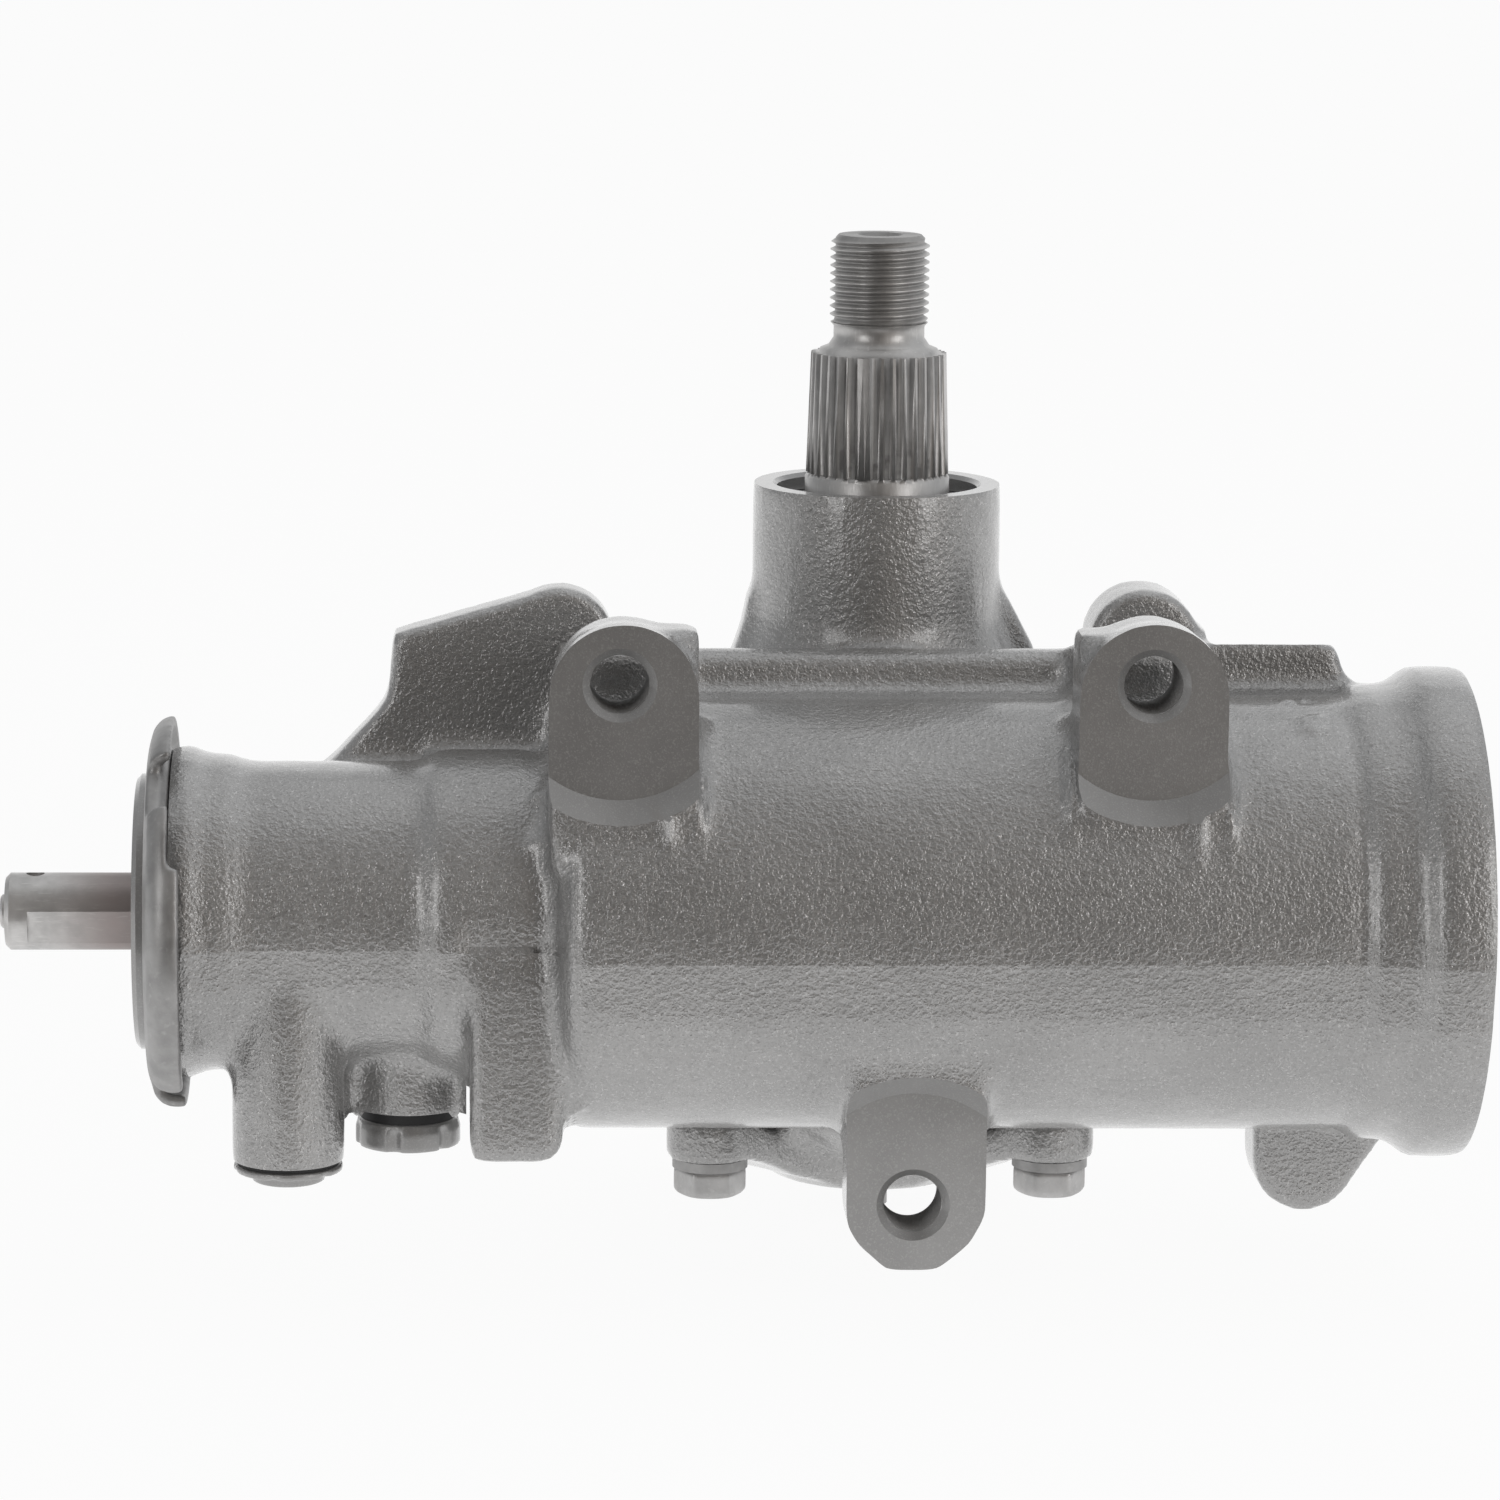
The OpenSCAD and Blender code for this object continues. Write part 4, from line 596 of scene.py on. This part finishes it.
class STEERINGGEAR_OT_housing(bpy.types.Operator):
    """Cast housing with fillets, parting line, machined bores and milled lugs"""

    bl_idname = "steering_gear.housing"
    bl_label = "Housing"

    def fillers(self):
        """Stock that fills the bores and stands proud of the faces until they are machined"""
        proud, lap, past, deep = 2.5, 2, 1, 4
        flange_r, valve_r, cylinder_r, plug_r, mouth_r = 35.1, 31.2, 41.5, 47.6, 52.9
        sector_r, bearing_r, boss_r = 34, 25.2, 27.6
        lug_hole_r, port_hole_r, port_end, bolt_r, bolt_depth = 8.6, 9, -14, 6, 11
        bm = bmesh.new()
        turned(bm, [
            (0, VALVE_END - proud), (flange_r, VALVE_END - proud), (flange_r, VALVE_END + lap),
            (valve_r, VALVE_END + lap), (valve_r, BULKHEAD + past), (valve_r, CHAMBER + deep),
            (cylinder_r, CHAMBER + deep), (cylinder_r, END_PLUG + past), (plug_r, END_PLUG + past),
            (plug_r, HOUSING_END - lap), (mouth_r, HOUSING_END - lap), (mouth_r, HOUSING_END + proud),
            (0, HOUSING_END + proud)
        ], WORM, "X")
        turned(bm, [
            (0, DECK - lap), (sector_r, DECK - lap), (sector_r, CHAMBER_TOP + past),
            (bearing_r, CHAMBER_TOP + past), (bearing_r, BOSS_TOP - lap), (boss_r, BOSS_TOP - lap),
            (boss_r, BOSS_TOP + proud), (0, BOSS_TOP + proud)
        ], PITMAN, "Z")
        for lug, _, back in self.lugs():
            rod(bm, lug_hole_r, LUG_FACE - 4, back - 1.6, Vector((lug.x, 0, lug.z)), "Y")
        self.lug_stock(bm)
        for centre, face, radius, _ in self.ports():
            rod(bm, radius - 0.2, face - proud, face + 3, centre, "Z")
            rod(bm, port_hole_r, face - past, port_end, centre, "Z")
        for centre in self.deck_bolts():
            rod(bm, bolt_r, DECK - past, DECK + bolt_depth, centre, "Z")
        return bm

    def lug_stock(self, bm):
        """Cast lugs a little in front of their milled faces"""
        left, right, lower = (lug for lug, _, _ in self.lugs())
        front, back = LUG_FACE - 4.6, LUG_FACE + 6
        upper_r, upper_foot = 15.9, 0.024
        for lug, shift, drop in ((left, 0.0009, 0.0029), (right, 0.0001, 0.0026)):
            slab(bm, lug_outline(lug.x + shift, lug.z - drop, upper_foot, upper_r), front, back)
        half, shift = 15.0, 0.6
        around = [(-half, 34), (-half, -4), (-half + 2.6, -8.6), (-6, -14.4), (4.4, -14.4),
                  (half - 3.2, -8.4), (half, -2.4), (half, 34)]
        slab(bm, [(lower.x + (shift + x) * MM, lower.z + z * MM) for x, z in around], front, back)

    def lugs(self):
        """Frame lugs: centre of the hole, its radius, and the station along Y where it ends"""
        ends = {"frame_bolt_upper_left": -16, "frame_bolt_upper_right": -16, "frame_bolt_lower": -18}
        found = [(MOUNTS[name], end) for name, end in ends.items()]
        return [(Vector(mount["pos_m"]), mount["dims"]["r_mm"], end) for mount, end in found]

    def ports(self):
        """Hydraulic ports: centre, height of the face, its radius and the depth of the thread"""
        return [(Vector((0.0335, -0.019, 0)), -50.5, 12.15, 10),
                (Vector((0.0592, -0.004, 0)), -42.0, 12.65, 6)]

    def deck_bolts(self):
        """Centres of the side cover's bolts"""
        reach = 0.038
        return [PITMAN + Vector((sx * reach, sy * reach, 0)) for sx in (-1, 1) for sy in (-1, 1)]

    def bores(self):
        """Worm-axis bores and end faces, and the milled and tapped lugs"""
        clear_r, bevel = 60, 0.8
        cutter_r, chamfer, thread_start, pitch, depth = 24.6, 1.6, 2.2, 1.5, 0.62
        bm = bmesh.new()
        turned(bm, [
            (0, VALVE_END - CUT_MARGIN), (clear_r, VALVE_END - CUT_MARGIN), (clear_r, VALVE_END),
            (PLUG_THREAD_R, VALVE_END), (PLUG_THREAD_R, PLUG_SEAT), (PILOT_R, PLUG_SEAT),
            (PILOT_R, PILOT_END), (VALVE_R, PILOT_END), (VALVE_R, BULKHEAD), (BULKHEAD_R, BULKHEAD),
            (BULKHEAD_R, CHAMBER), (CYLINDER_R, CHAMBER), (CYLINDER_R, END_PLUG), (END_PLUG_R, END_PLUG),
            (END_PLUG_R, END_PLUG_FACE), (END_RING_R, END_PLUG_FACE), (END_RING_R, END_RING),
            (END_PLUG_R, END_RING),
            (END_PLUG_R, HOUSING_END - bevel), (END_PLUG_R + bevel, HOUSING_END), (clear_r, HOUSING_END),
            (clear_r, HOUSING_END + CUT_MARGIN), (0, HOUSING_END + CUT_MARGIN)
        ], WORM, "X", 128)
        for lug, core, back in self.lugs():
            grooves = []
            station = LUG_FACE + thread_start
            while station < back - pitch:
                grooves += [(core, station), (core + depth, station + pitch * 0.42),
                            (core + depth, station + pitch * 0.58)]
                station += pitch
            turned(bm, [
                (0, LUG_FACE - CUT_MARGIN), (cutter_r + CUT_MARGIN, LUG_FACE - CUT_MARGIN),
                (cutter_r, LUG_FACE), (core + chamfer, LUG_FACE), (core, LUG_FACE + chamfer), *grooves,
                (core, station), (core, back), (0, back)
            ], Vector((lug.x, 0, lug.z)), "Y", 60)
        return bm

    def pitman_bores(self):
        """Pitman-axis bores, boss rim and deck, and the two ports"""
        deck_r, rim_r, bevel, ring_width = 64, 40, 0.9, 1.8
        thread_r, hole_r, hole_end = 8, 5, -12
        bm = bmesh.new()
        turned(bm, [
            (0, DECK - CUT_MARGIN), (deck_r, DECK - CUT_MARGIN), (deck_r, DECK), (SECTOR_R, DECK),
            (SECTOR_R, CHAMBER_TOP), (BEARING_R, CHAMBER_TOP), (BEARING_R, BEARING_TOP),
            (SHAFT_R, BEARING_TOP), (SHAFT_R, SEAL_SEAT), (SEAL_R, SEAL_SEAT), (SEAL_R, SNAP_GROOVE),
            (SNAP_R, SNAP_GROOVE), (SNAP_R, SNAP_GROOVE + ring_width), (SEAL_R, SNAP_GROOVE + ring_width),
            (SEAL_R, BOSS_TOP - bevel), (SEAL_R + bevel, BOSS_TOP), (rim_r, BOSS_TOP),
            (rim_r, BOSS_TOP + CUT_MARGIN),
            (0, BOSS_TOP + CUT_MARGIN)
        ], PITMAN, "Z")
        for centre, face, radius, depth in self.ports():
            spot_r, start = radius + 0.1, face - 4
            turned(bm, [
                (0, start), (spot_r, start), (spot_r, face), (thread_r, face), (thread_r, face + depth),
                (hole_r, face + depth + 2), (hole_r, hole_end), (0, hole_end)
            ], centre, "Z", 64)
        return bm

    def bolt_holes(self):
        """Holes for the side cover's bolts"""
        radius, depth = 4.75, 9.5
        bm = bmesh.new()
        for centre in self.deck_bolts():
            rod(bm, radius, DECK - 2, DECK + depth, centre, "Z", 32)
        return bm

    def scars(self):
        """Places where a feeder was broken off: centre, reach and height"""
        return [(Vector((0.2542, -0.0175, 0.0445)), 0.0058, 0.0007),
                (Vector((0.252, -0.006, 0.0478)), 0.004, 0.0006)]

    def fins(self):
        """Fins under the upper lugs: X, foot and top"""
        left, right = (lug for lug, _, _ in self.lugs()[:2])
        return [(left.x + 0.0105, 0.018, 0.032), (left.x + 0.0172, 0.02, 0.0385),
                (right.x - 0.0176, 0.021, 0.0405), (right.x + 0.0094, 0.017, 0.03),
                (right.x + 0.0166, 0.019, 0.035)]

    def port_slot(self):
        """Gap between the right port's boss and the locating block"""
        size, middle = (0.0007, 0.06, 0.018), (0.07225, -0.016, -0.0446)
        bm = bmesh.new()
        bmesh.ops.create_cube(bm, size=1)
        bmesh.ops.scale(bm, vec=size, verts=bm.verts)
        bmesh.ops.translate(bm, vec=middle, verts=bm.verts)
        return bm

    def execute(self, context):
        form = getattr(context.scene, CASTING)
        finishes = [finish_named("cast_paint"), finish_named("machined_paint")]
        obj = cast_skin(
            "housing_casting", "gear_housing", self.fillers(), finishes, form.voxel, form.fillet, form.passes)
        bm = bmesh.new()
        bm.from_mesh(obj.data)
        seam_facet(bm, form.seam_z, form.seam_reach, block=(0.0715, 0.0925))
        trim_block(bm, start_x=PITMAN.x + 0.0713, front_y=0.0104, top_z=0.0578, slope=0.27)
        ring_groove(bm, station=0.2622, half=0.0026, depth=0.0005, top_z=0.046)
        cast_fins(bm, self.fins(), half=0.0022, proud=0.0011)
        pebble(bm, form.pebble_height, self.scars())
        bm.to_mesh(obj.data)
        bm.free()
        for cutter in (self.bores(), self.pitman_bores(), self.bolt_holes(), self.port_slot()):
            cut(obj, cutter)
        shade_smooth(obj, angle=32)
        crisp_seam(obj, form.seam_z)
        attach(obj, "housing")
        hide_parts("gear_housing")
        return {"FINISHED"}


class STEERINGGEAR_OT_side_cover(bpy.types.Operator):
    """Cast side cover"""

    bl_idname = "steering_gear.side_cover"
    bl_label = "Side cover"

    def execute(self, context):
        form = getattr(context.scene, CASTING)
        smoother = 0.7
        finishes = [finish_named("cast_paint"), finish_named("machined_paint")]
        obj = cast_skin(
            "side_cover_casting", "side_cover", bmesh.new(), finishes, form.cover_voxel, form.fillet,
            form.passes)
        bm = bmesh.new()
        bm.from_mesh(obj.data)
        pebble(bm, form.pebble_height * smoother)
        bm.to_mesh(obj.data)
        bm.free()
        shade_smooth(obj, angle=32)
        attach(obj, "housing")
        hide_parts("side_cover")
        return {"FINISHED"}


class STEERINGGEAR_OT_pitman_shaft(bpy.types.Operator):
    """Pitman shaft with a real helical thread at its top"""

    bl_idname = "steering_gear.pitman_shaft"
    bl_label = "Pitman shaft"

    def thread(self, start, end, crest, root, pitch):
        """A right-hand thread between two heights in millimetres, with a chamfered top and a run-out"""
        chamfer, runout, waist, steps = 1.8, 1.4, 10.3, 96
        bm = bmesh.new()
        tooth = [(root, 0), (root, 0.14), (crest, 0.46), (crest, 0.58), (root, 0.9)]
        turns = math.ceil((end - start) / pitch) + 3
        profile = [(r, start + (k - 2 + share) * pitch) for k in range(turns) for r, share in tooth]
        verts = [bm.verts.new(PITMAN + Vector((r, 0, s)) * MM) for r, s in profile]
        edges = [bm.edges.new(pair) for pair in zip(verts, verts[1:])]
        bmesh.ops.spin(
            bm, geom=verts + edges, cent=PITMAN, axis=AXES["Z"], dvec=(0, 0, pitch * MM / steps),
            angle=math.tau, steps=steps, use_merge=False)
        bmesh.ops.remove_doubles(bm, verts=bm.verts, dist=2e-6)
        for height, side in ((start, -1), (end, 1)):
            bmesh.ops.bisect_plane(
                bm, geom=bm.verts[:] + bm.edges[:] + bm.faces[:], plane_co=(0, 0, height * MM),
                plane_no=(0, 0, side), clear_outer=True, dist=1e-7)
            rim = [e for e in bm.edges
                   if e.is_boundary and all(abs(v.co.z - height * MM) < NEAR for v in e.verts)]
            bmesh.ops.edgeloop_fill(bm, edges=rim)
        for vert in bm.verts:
            arm = Vector((vert.co.x - PITMAN.x, vert.co.y - PITMAN.y))
            radius, height = arm.length / MM, vert.co.z / MM
            limit = crest - max(0, height - (end - chamfer))
            fade = min(1, max(0, (height - start) / runout))
            wanted = min(limit, waist + (radius - waist) * fade)
            arm *= wanted / radius
            vert.co.x, vert.co.y = PITMAN.x + arm.x, PITMAN.y + arm.y
        outward(bm)
        return bm

    def execute(self, context):
        finishes = [finish_named("pitman_steel")]
        start, end = 124.0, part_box("pitman_shaft")[1].z / MM
        overlap, recess_depth = 0.1, 2.2
        shaft = node_copy("pitman_shaft")
        bmesh.ops.bisect_plane(
            shaft, geom=shaft.verts[:] + shaft.edges[:] + shaft.faces[:],
            plane_co=(0, 0, (start + overlap) * MM), plane_no=(0, 0, 1), clear_outer=True, dist=1e-7)
        bmesh.ops.holes_fill(shaft, edges=[e for e in shaft.edges if e.is_boundary], sides=0)
        tip = made_object("tip", self.thread(start, end, crest=11.11, root=9.95, pitch=1.814), finishes)
        recess = bmesh.new()
        turned(recess, [
            (0, end + 1), (5.65, end + 1), (5.2, end), (3.4, end - recess_depth), (0, end - recess_depth)
        ], PITMAN, "Z", 48)
        cut(tip, recess)
        shaft.from_mesh(tip.data)
        discard(tip)
        for face in shaft.faces:
            face.material_index = CAST
        obj = made_object("threaded_pitman_shaft", shaft, finishes)
        shade_smooth(obj, angle=28)
        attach(obj, "pitman")
        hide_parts("pitman_shaft")
        return {"FINISHED"}


class STEERINGGEAR_OT_pressings(bpy.types.Operator):
    """Locknut, cover bolts and port plugs with soft edges under their paint"""

    bl_idname = "steering_gear.pressings"
    bl_label = "Pressings"

    def execute(self, context):
        # Finish, size of a face, fillet and smoothing passes
        softness = {
            "adjuster_locknut": ("pressed_steel", 0.0006, 0.0007, 4),
            "side_cover_bolts": ("bolt_steel", 0.00045, 0.0003, 2),
            "left_port_plug": ("machined_paint", 0.00042, 0.0004, 2),
            "right_port_plug": ("machined_paint", 0.00042, 0.0004, 2)}
        for node, (finish, voxel, fillet, passes) in softness.items():
            obj = cast_skin("soft_" + node, node, bmesh.new(), [finish_named(finish)], voxel, fillet, passes)
            shade_smooth(obj, angle=40)
            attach(obj, "housing")
            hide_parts(node)
        return {"FINISHED"}


class STEERINGGEAR_OT_finishes(bpy.types.Operator):
    """Finishes of the pieces that keep their machined shape"""

    bl_idname = "steering_gear.finishes"
    bl_label = "Finishes"

    def execute(self, context):
        by_slot = {
            "cast_housing": "cast_paint", "painted_plug": "machined_paint", "machined_iron": "machined_paint",
            "plated_steel": "pressed_steel", "shaft_steel": "shaft_steel", "bearing_steel": "bearing_steel",
            "seal_rubber": "rubber", "bush_brass": "brass", "ring_plastic": "ring_plastic"}
        own = {"stub_shaft": "input_steel", "torsion_bar": "input_steel", "pitman_shaft": "pitman_steel"}
        for part in frame["record"]["subparts"]:
            node = frame["nodes"][part["node"]]
            finish = finish_named(own.get(part["node"], by_slot[part["material_slot"]]))
            node.data.materials.clear()
            node.data.materials.append(finish)
        return {"FINISHED"}


class STEERINGGEAR_OT_stage(bpy.types.Operator):
    """Camera, pale floor, soft lamps and a white surround"""

    bl_idname = "steering_gear.stage"
    bl_label = "Stage"

    def camera(self, context, stage):
        azimuth, elevation = math.radians(stage.azimuth), math.radians(stage.elevation)
        back = Vector((math.sin(azimuth) * math.cos(elevation), -math.cos(azimuth) * math.cos(elevation),
                       math.sin(elevation)))
        right = AXES["Z"].cross(back).normalized()
        up = back.cross(right)
        roll = math.radians(stage.roll)
        side = right * math.cos(roll) + up * math.sin(roll)
        top = up * math.cos(roll) - right * math.sin(roll)
        data = bpy.data.cameras.new("camera")
        data.lens, data.sensor_width = stage.lens, 36
        data.clip_start, data.clip_end = 0.05, 60
        camera = bpy.data.objects.new("camera", data)
        context.scene.collection.objects.link(camera)
        turn = Matrix((side, top, back)).transposed().to_4x4()
        camera.matrix_world = Matrix.Translation(Vector(stage.target) + back * stage.distance) @ turn
        context.scene.camera = camera

    def lamp(self, context, name, place, aim, size, power):
        data = bpy.data.lights.new(name, "AREA")
        data.shape, data.size, data.size_y, data.energy = "RECTANGLE", size[0], size[1], power
        lamp = bpy.data.objects.new(name, data)
        context.scene.collection.objects.link(lamp)
        lamp.location = place
        lamp.rotation_euler = (Vector(aim) - Vector(place)).to_track_quat("-Z", "Y").to_euler()

    def white_for_eyes(self, finish, lit, white, share):
        """Lit shader, replaced by white where the camera or a reflection looks at it"""
        path = finish.node("ShaderNodeLightPath")
        rays = ("Camera", "Glossy", "Transmission")
        eye, mirror, glass = (Wire(finish, path.outputs[f"Is {ray} Ray"]) for ray in rays)
        return finish.value("ShaderNodeMixShader", None, {0: share(eye, mirror + glass), 1: lit, 2: white})

    def floor(self):
        """Pale floor from just before the part to far behind it, mostly white to the camera"""
        front, reach, middle_x, gap, white_share = -0.2, 14, 0.15, 0.0004, 0.94
        bm = bmesh.new()
        bmesh.ops.create_grid(bm, x_segments=1, y_segments=1, size=reach)
        bmesh.ops.translate(bm, verts=bm.verts, vec=(middle_x, reach + front, CAD_BOX[0].z - gap))
        f = Finish(bpy.data.materials.new("floor_white"))
        lit = f.value("ShaderNodeBsdfDiffuse", None, {"Color": (0.86, 0.86, 0.86, 1)})
        glow = f.value("ShaderNodeEmission", None, {"Color": (1, 1, 1, 1), "Strength": 1.0})
        mix = self.white_for_eyes(f, lit, glow, lambda eye, mirror: eye * white_share + mirror)
        f.node("ShaderNodeOutputMaterial", None, {"Surface": mix})
        floor = made_object("floor", bm, [f.holder])

    def surround(self, scene):
        """Dim and warm before the part, brighter to the right and behind it, white to the camera"""
        warm, cool = (1.0, 0.9, 0.81, 1), (0.97, 0.985, 1.0, 1)
        world = bpy.data.worlds.new("surround")
        scene.world = world
        w = Finish(world)
        look = w.value("ShaderNodeTexCoord", output="Generated")
        towards = w.node("ShaderNodeSeparateXYZ", None, {0: look})
        across, depth = (Wire(w, towards.outputs[axis]) for axis in "XY")
        right, upper, backdrop = across.spread(0.02, 0.22), depth.spread(-1.15, 0.0), depth.spread(0.7, 0.97)
        colour = w.mixed(upper, warm, cool)
        level = 0.04 + right * 0.26 + upper * 0.39 + backdrop * 0.45
        ambient = w.value("ShaderNodeBackground", None, {"Color": colour, "Strength": level})
        white = w.value("ShaderNodeBackground", None, {"Color": (1, 1, 1, 1), "Strength": 1.0})
        mix = self.white_for_eyes(w, ambient, white, lambda eye, mirror: eye + mirror * backdrop)
        w.node("ShaderNodeOutputWorld", None, {"Surface": mix})

    def execute(self, context):
        scene = context.scene
        self.camera(context, getattr(scene, STAGE))
        scene.view_settings.view_transform = "Standard"
        self.floor()
        self.surround(scene)
        aim = (0.14, 0.02, 0.03)
        # Place, size and power
        lamps = {
            "roof": ((0.14, 0.35, 1.3), (1.6, 1.2), 2),
            "left_panel": ((-0.75, -0.95, 0.35), (0.35, 0.9), 2.6),
            "right_panel": ((1.1, -0.9, 0.35), (0.35, 0.9), 2.6)}
        for name, (place, size, power) in lamps.items():
            self.lamp(context, name, place, aim, size, power)
        return {"FINISHED"}


class STEERINGGEAR_PT_dressing(bpy.types.Panel):
    """Steps that dress the steering gear"""

    bl_idname = "STEERINGGEAR_PT_dressing"
    bl_label = "Steering gear"
    bl_space_type = "VIEW_3D"
    bl_region_type = "UI"
    bl_category = "Steering gear"

    def draw(self, context):
        for group in (CASTING, FINISH, STAGE):
            settings = getattr(context.scene, group)
            box = self.layout.box()
            for key in settings.__annotations__:
                box.prop(settings, key)
        for operator in OPERATORS:
            self.layout.operator(operator.bl_idname)


GROUPS = {CASTING: CastingSettings, FINISH: FinishSettings, STAGE: StageSettings}
OPERATORS = (
    STEERINGGEAR_OT_finishes, STEERINGGEAR_OT_housing, STEERINGGEAR_OT_side_cover, STEERINGGEAR_OT_pressings,
    STEERINGGEAR_OT_pitman_shaft, STEERINGGEAR_OT_stage)


def register():
    for cls in (*GROUPS.values(), *OPERATORS, STEERINGGEAR_PT_dressing):
        bpy.utils.register_class(cls)
    for name, cls in GROUPS.items():
        setattr(bpy.types.Scene, name, bpy.props.PointerProperty(type=cls))


def unregister():
    for name in GROUPS:
        delattr(bpy.types.Scene, name)
    for cls in reversed((*GROUPS.values(), *OPERATORS, STEERINGGEAR_PT_dressing)):
        bpy.utils.unregister_class(cls)


def main():
    register()
    bpy.ops.steering_gear.finishes()
    bpy.ops.steering_gear.housing()
    bpy.ops.steering_gear.side_cover()
    bpy.ops.steering_gear.pressings()
    bpy.ops.steering_gear.pitman_shaft()
    bpy.ops.steering_gear.stage()


if __name__ == "__main__":
    main()
